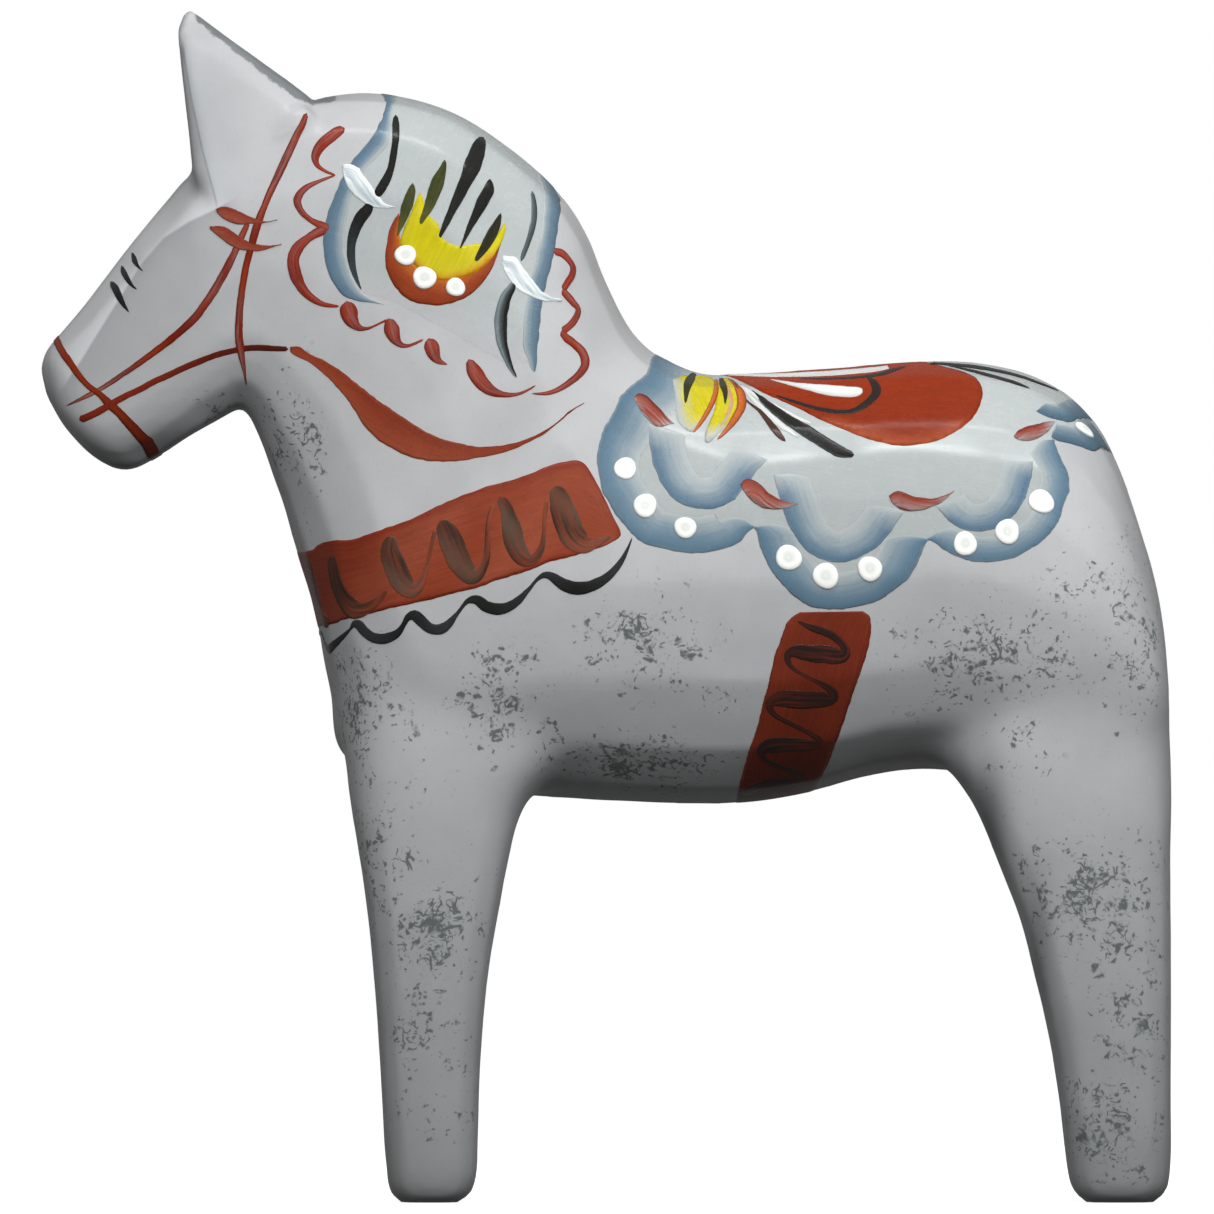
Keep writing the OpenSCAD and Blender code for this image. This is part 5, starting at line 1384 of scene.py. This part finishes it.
SEEDS = [
    ([(413, 184, 2), (412, 192, 8), (408, 205, 11), (405, 215, 9), (400, 230, 4), (398, 237, 1)], srgb(62, 66, 30)),
    ([(445, 161, 3), (443, 170, 7), (438, 183, 13), (433, 197, 12), (428, 210, 9), (422, 222, 5), (418, 233, 1)], srgb(58, 62, 26)),
    ([(483, 138, 6), (479, 148, 14), (473, 165, 17), (467, 180, 14), (460, 195, 11), (452, 212, 8), (446, 225, 6), (440, 238, 3), (435, 251, 1)], BLACK),
    ([(490, 180, 3), (489, 190, 11), (484, 200, 12), (478, 212, 10), (472, 224, 7), (467, 235, 4.5), (462, 246, 2), (459, 253, 1)], BLACK),
    ([(501, 214, 2), (497, 225, 8), (491, 237, 10.5), (485, 248, 9), (479, 257, 6), (474, 265, 3), (469, 272, 1)], srgb(40, 40, 24)),
]
for i, (s, c) in enumerate(SEEDS):
    se.stroke(s, lambda A, V, c=c: mix(c, srgb(110, 106, 30) if i < 2 else srgb(48, 48, 40), np.clip((A - 0.55) * 2, 0, 1) * 0.6), lift=0.0001, h=0.0001, seed=i, rows=9)
se.make()
fd = Film("mane_flower_dots_white", "flower_dots", "white_paint", M_WHITE)
for i, (u, v, r) in enumerate([(406, 256, 10.5), (425, 278.5, 11.5), (456, 288, 9.5)]):
    fd.dot(u, v, r, dot_col, h=0.0003, seed=i, lift=0.0001)
fd.make()

# ------------------------------------------------------------------ bridle, bow, nose and sash
br = Film("bridle_straps_red", "bridle_straps", "red_paint", M_RED)
strap = lambda A, V: cover(mix(srgb(104, 26, 8), srgb(142, 48, 20), np.sin(np.pi * V) * (0.6 + 0.4 * np.sin(A * 23))), 1 - 0.1 * np.sin(np.pi * V) * (0.5 + 0.5 * np.sin(A * 9)))
# the noseband is painted darker where it runs under the jaw, as painted shade
nose_col = lambda A, V: mix(mix(srgb(100, 26, 10), srgb(138, 50, 20), np.sin(np.pi * V)), srgb(58, 14, 8), np.exp(-((A - 0.5) / 0.17) ** 2))
NOSE = [(57, 341, 7), (63, 352, 7), (70, 362, 7), (80, 376, 6), (90, 387, 5.5), (100, 394, 6), (110, 404, 8), (120, 413, 8), (130, 424, 9), (140, 435, 10), (150, 446, 12), (157, 457, 12)]
br.stroke(NOSE, nose_col, chart=SWEEP, h=0.00012, mirror_over="ring", k=6, wide=1.1)
br.stroke([(249, 223, 4), (243, 236, 5.5), (237, 250, 6), (228, 268, 7), (217, 288, 7), (205, 306, 7), (195, 319, 7), (180, 333, 6.5), (165, 345, 6), (150, 356, 5.5), (135, 367, 5), (120, 377, 4.5), (105, 387, 4), (92, 394, 4), (80, 400, 3), (67, 406, 1)], strap, h=0.00012, seed=1, wide=1.15)
br.stroke([(80, 420, 6.5), (95, 414, 6.5), (111, 405, 6), (125, 397, 5.5), (140, 390, 5.5), (155, 382, 5.5), (170, 375, 5.5), (185, 368, 5.5), (200, 362, 5.5), (215, 356, 5.5), (230, 352, 5.5), (245, 349, 5.5), (260, 348, 5.5), (275, 349, 5), (289, 349.5, 4)],
          lambda A, V: mix(srgb(122, 40, 24), srgb(70, 26, 18), np.clip(A * 1.5 - 0.5, 0, 1)), h=0.00014, seed=2, wide=1.15)
br.stroke([(307, 114, 4), (303, 125, 6), (297, 137, 6.5), (290, 152, 7), (283, 167, 7), (276, 182, 6.5), (270, 195, 6), (264, 210, 6), (259, 223, 7), (255, 236, 7), (252, 248, 6), (249, 258, 6), (246, 272, 6), (243, 290, 6), (241, 305, 6), (240, 320, 6.5), (239.5, 335, 7), (241, 348, 7), (243, 360, 5), (245, 372, 3), (247, 386, 1)],
          strap, h=0.00016, seed=3, wide=1.15)
br.make()
bow = Film("bridle_bow_leaves", "bridle_bow", "rust_paint", M_RUST)
bow_col = fade((0, srgb(116, 38, 20)), (0.5, srgb(136, 58, 40)), (1, srgb(146, 78, 62)))
bow.between([(217, 210), (221, 208), (230, 208), (240, 212), (250, 217), (260, 221), (270, 222), (278, 220)], [(218, 214), (225, 220), (233, 224), (240, 225), (252, 224.5), (262, 224), (270, 222.8), (278, 220.8)], bow_col, lift=0.00006, h=0.00013)
bow.between([(211, 227), (222, 227), (230, 230), (240, 237), (250, 243), (258, 245), (268, 246), (275, 246), (282, 244.5)], [(211, 230), (220, 238), (230, 245), (240, 250), (250, 251), (258, 252), (268, 250), (276, 247), (282, 245.2)], bow_col, lift=0.00006, h=0.00013, seed=2)
bow.make()
no = Film("nose_strokes_black", "nose_strokes", "black_paint", M_BLACK)
no.stroke([(132.5, 253, 3), (135, 260, 6), (139, 267, 3), (144, 272, 1)], BLACK, h=0.00013)
no.stroke([(122, 266, 3), (124, 272, 6), (128, 279, 5.5), (133, 286, 3), (138, 290, 1)], BLACK, h=0.00013, seed=1)
no.stroke([(111, 282, 4), (116, 289, 8), (120, 297, 7), (125, 306, 4), (130, 313, 1)], BLACK, h=0.00013, seed=2)
no.make()
sash = Film("neck_sash_rust", "neck_sash", "rust_paint", M_RUST)
SU = [(291, 347), (300, 347), (310, 354), (325, 361), (340, 370), (355, 382), (370, 394), (385, 405), (400, 415), (415, 425), (430, 434), (445, 440), (460, 444), (480, 447), (500, 446), (515, 443), (530, 438), (545, 431), (560, 420), (570, 411), (584, 403)]
SL = [(291, 352), (297, 357), (310, 363), (322, 372), (335, 385), (348, 400), (358, 415), (366, 428), (380, 441), (395, 450), (410, 457), (422, 460), (440, 462), (460, 461), (480, 458), (500, 454), (515, 449), (530, 442), (545, 434), (560, 422), (572, 411.5), (584, 404)]
sash.between(SU, SL, lambda A, V: mix(mix(srgb(126, 48, 26), srgb(148, 70, 46), V), srgb(120, 40, 18), np.clip((A - 0.62) * 3, 0, 1)), h=0.0001, rows=13)
sash.make()

# ------------------------------------------------------------------ stage, light and camera
me = bpy.data.meshes.new("studio_floor")
seg = 64
rings_ = [0.25, 0.6, 1.2, 2.4]
fv = [(0.0, 0.0, -0.00005)] + [(r * math.cos(2 * math.pi * k / seg), r * math.sin(2 * math.pi * k / seg), -0.00005) for r in rings_ for k in range(seg)]
ff = [(0, 1 + k, 1 + (k + 1) % seg) for k in range(seg)]
for j in range(len(rings_) - 1):
    for k in range(seg):
        a, b = 1 + j * seg + k, 1 + j * seg + (k + 1) % seg
        ff.append((a, a + seg, b + seg, b))
me.from_pydata(fv, [], ff)
floor = bpy.data.objects.new("studio_floor", me)
bpy.context.scene.collection.objects.link(floor)
m, nt, bs = new_material("studio_paper")
tooth = noise(nt, node(nt, "ShaderNodeTexCoord").outputs["Object"], 300, 2.0, 0.5)
nt.links.new(mixed(nt, tooth, (0.30, 0.30, 0.30), (0.34, 0.34, 0.34)), bs.inputs["Base Color"])
bs.inputs["Roughness"].default_value = 0.95
bs.inputs["Specular IOR Level"].default_value = 0.1
bs.inputs["Emission Color"].default_value = (1, 1, 1, 1)
away = nt.nodes.new("ShaderNodeVectorMath")
away.operation = "LENGTH"
nt.links.new(node(nt, "ShaderNodeTexCoord").outputs["Object"], away.inputs[0])
nt.links.new(ranged(nt, away.outputs["Value"], 0.12, 0.45, 0.86, 1.02), bs.inputs["Emission Strength"])
me.materials.append(m)
floor.visible_diffuse = False
floor.visible_glossy = False

world = bpy.data.worlds.new("studio")
bpy.context.scene.world = world
world.use_nodes = True
wn = world.node_tree
bgn = wn.nodes["Background"]
wc = wn.nodes.new("ShaderNodeTexCoord")
wsep = wn.nodes.new("ShaderNodeSeparateXYZ")
wn.links.new(wc.outputs["Generated"], wsep.inputs[0])
wr = wn.nodes.new("ShaderNodeMapRange")
wr.inputs["From Min"].default_value = -0.5
wr.inputs["From Max"].default_value = 0.9
wr.inputs["To Min"].default_value = 0.065
wr.inputs["To Max"].default_value = 0.22
wn.links.new(wsep.outputs[2], wr.inputs["Value"])
seen = wn.nodes.new("ShaderNodeLightPath")
pick = wn.nodes.new("ShaderNodeMix")
pick.data_type = "FLOAT"
wn.links.new(seen.outputs["Is Camera Ray"], pick.inputs[0])
wn.links.new(wr.outputs["Result"], pick.inputs[2])
pick.inputs[3].default_value = 1.0
wn.links.new(pick.outputs[0], bgn.inputs["Strength"])
bgn.inputs["Color"].default_value = (1.0, 1.0, 1.0, 1)


def softbox(name, loc, target, size, power, colour=(1, 1, 1), size_y=None, gloss=True):
    d = bpy.data.lights.new(name, "AREA")
    d.shape = "RECTANGLE"
    d.size, d.size_y = size, size_y or size
    d.energy = power
    d.color = colour
    o = bpy.data.objects.new(name, d)
    bpy.context.scene.collection.objects.link(o)
    o.location = loc
    o.rotation_euler = (Vector(target) - Vector(loc)).to_track_quat("-Z", "Y").to_euler()
    o.visible_glossy = gloss
    return o


softbox("key_front_above", (0.08, -0.36, 0.285), (0.01, 0, 0.10), 0.75, 2.05, size_y=0.10, gloss=False)
softbox("top_fill", (0.12, -0.06, 0.62), (0.02, 0, 0.1), 0.6, 1.25, size_y=0.35, gloss=False)
softbox("top_gloss", (0.0, -0.24, 0.80), (0, 0, 0.12), 0.5, 0.8, size_y=0.06)
softbox("back_fill", (0.0, 0.45, 0.27), (0, 0, 0.1), 0.7, 1.5, size_y=0.2, gloss=False)

cam_data = bpy.data.cameras.new("camera")
cam_data.lens = 1454.2
cam_data.sensor_width = 36
cam_data.clip_start, cam_data.clip_end = 0.05, 20
cam = bpy.data.objects.new("camera", cam_data)
bpy.context.scene.collection.objects.link(cam)
cam.location = (0.00014, -7.0, 0.0848)
cam.rotation_euler = (math.pi / 2, 0, 0)
bpy.context.scene.camera = cam
bpy.context.scene.view_settings.view_transform = "Standard"
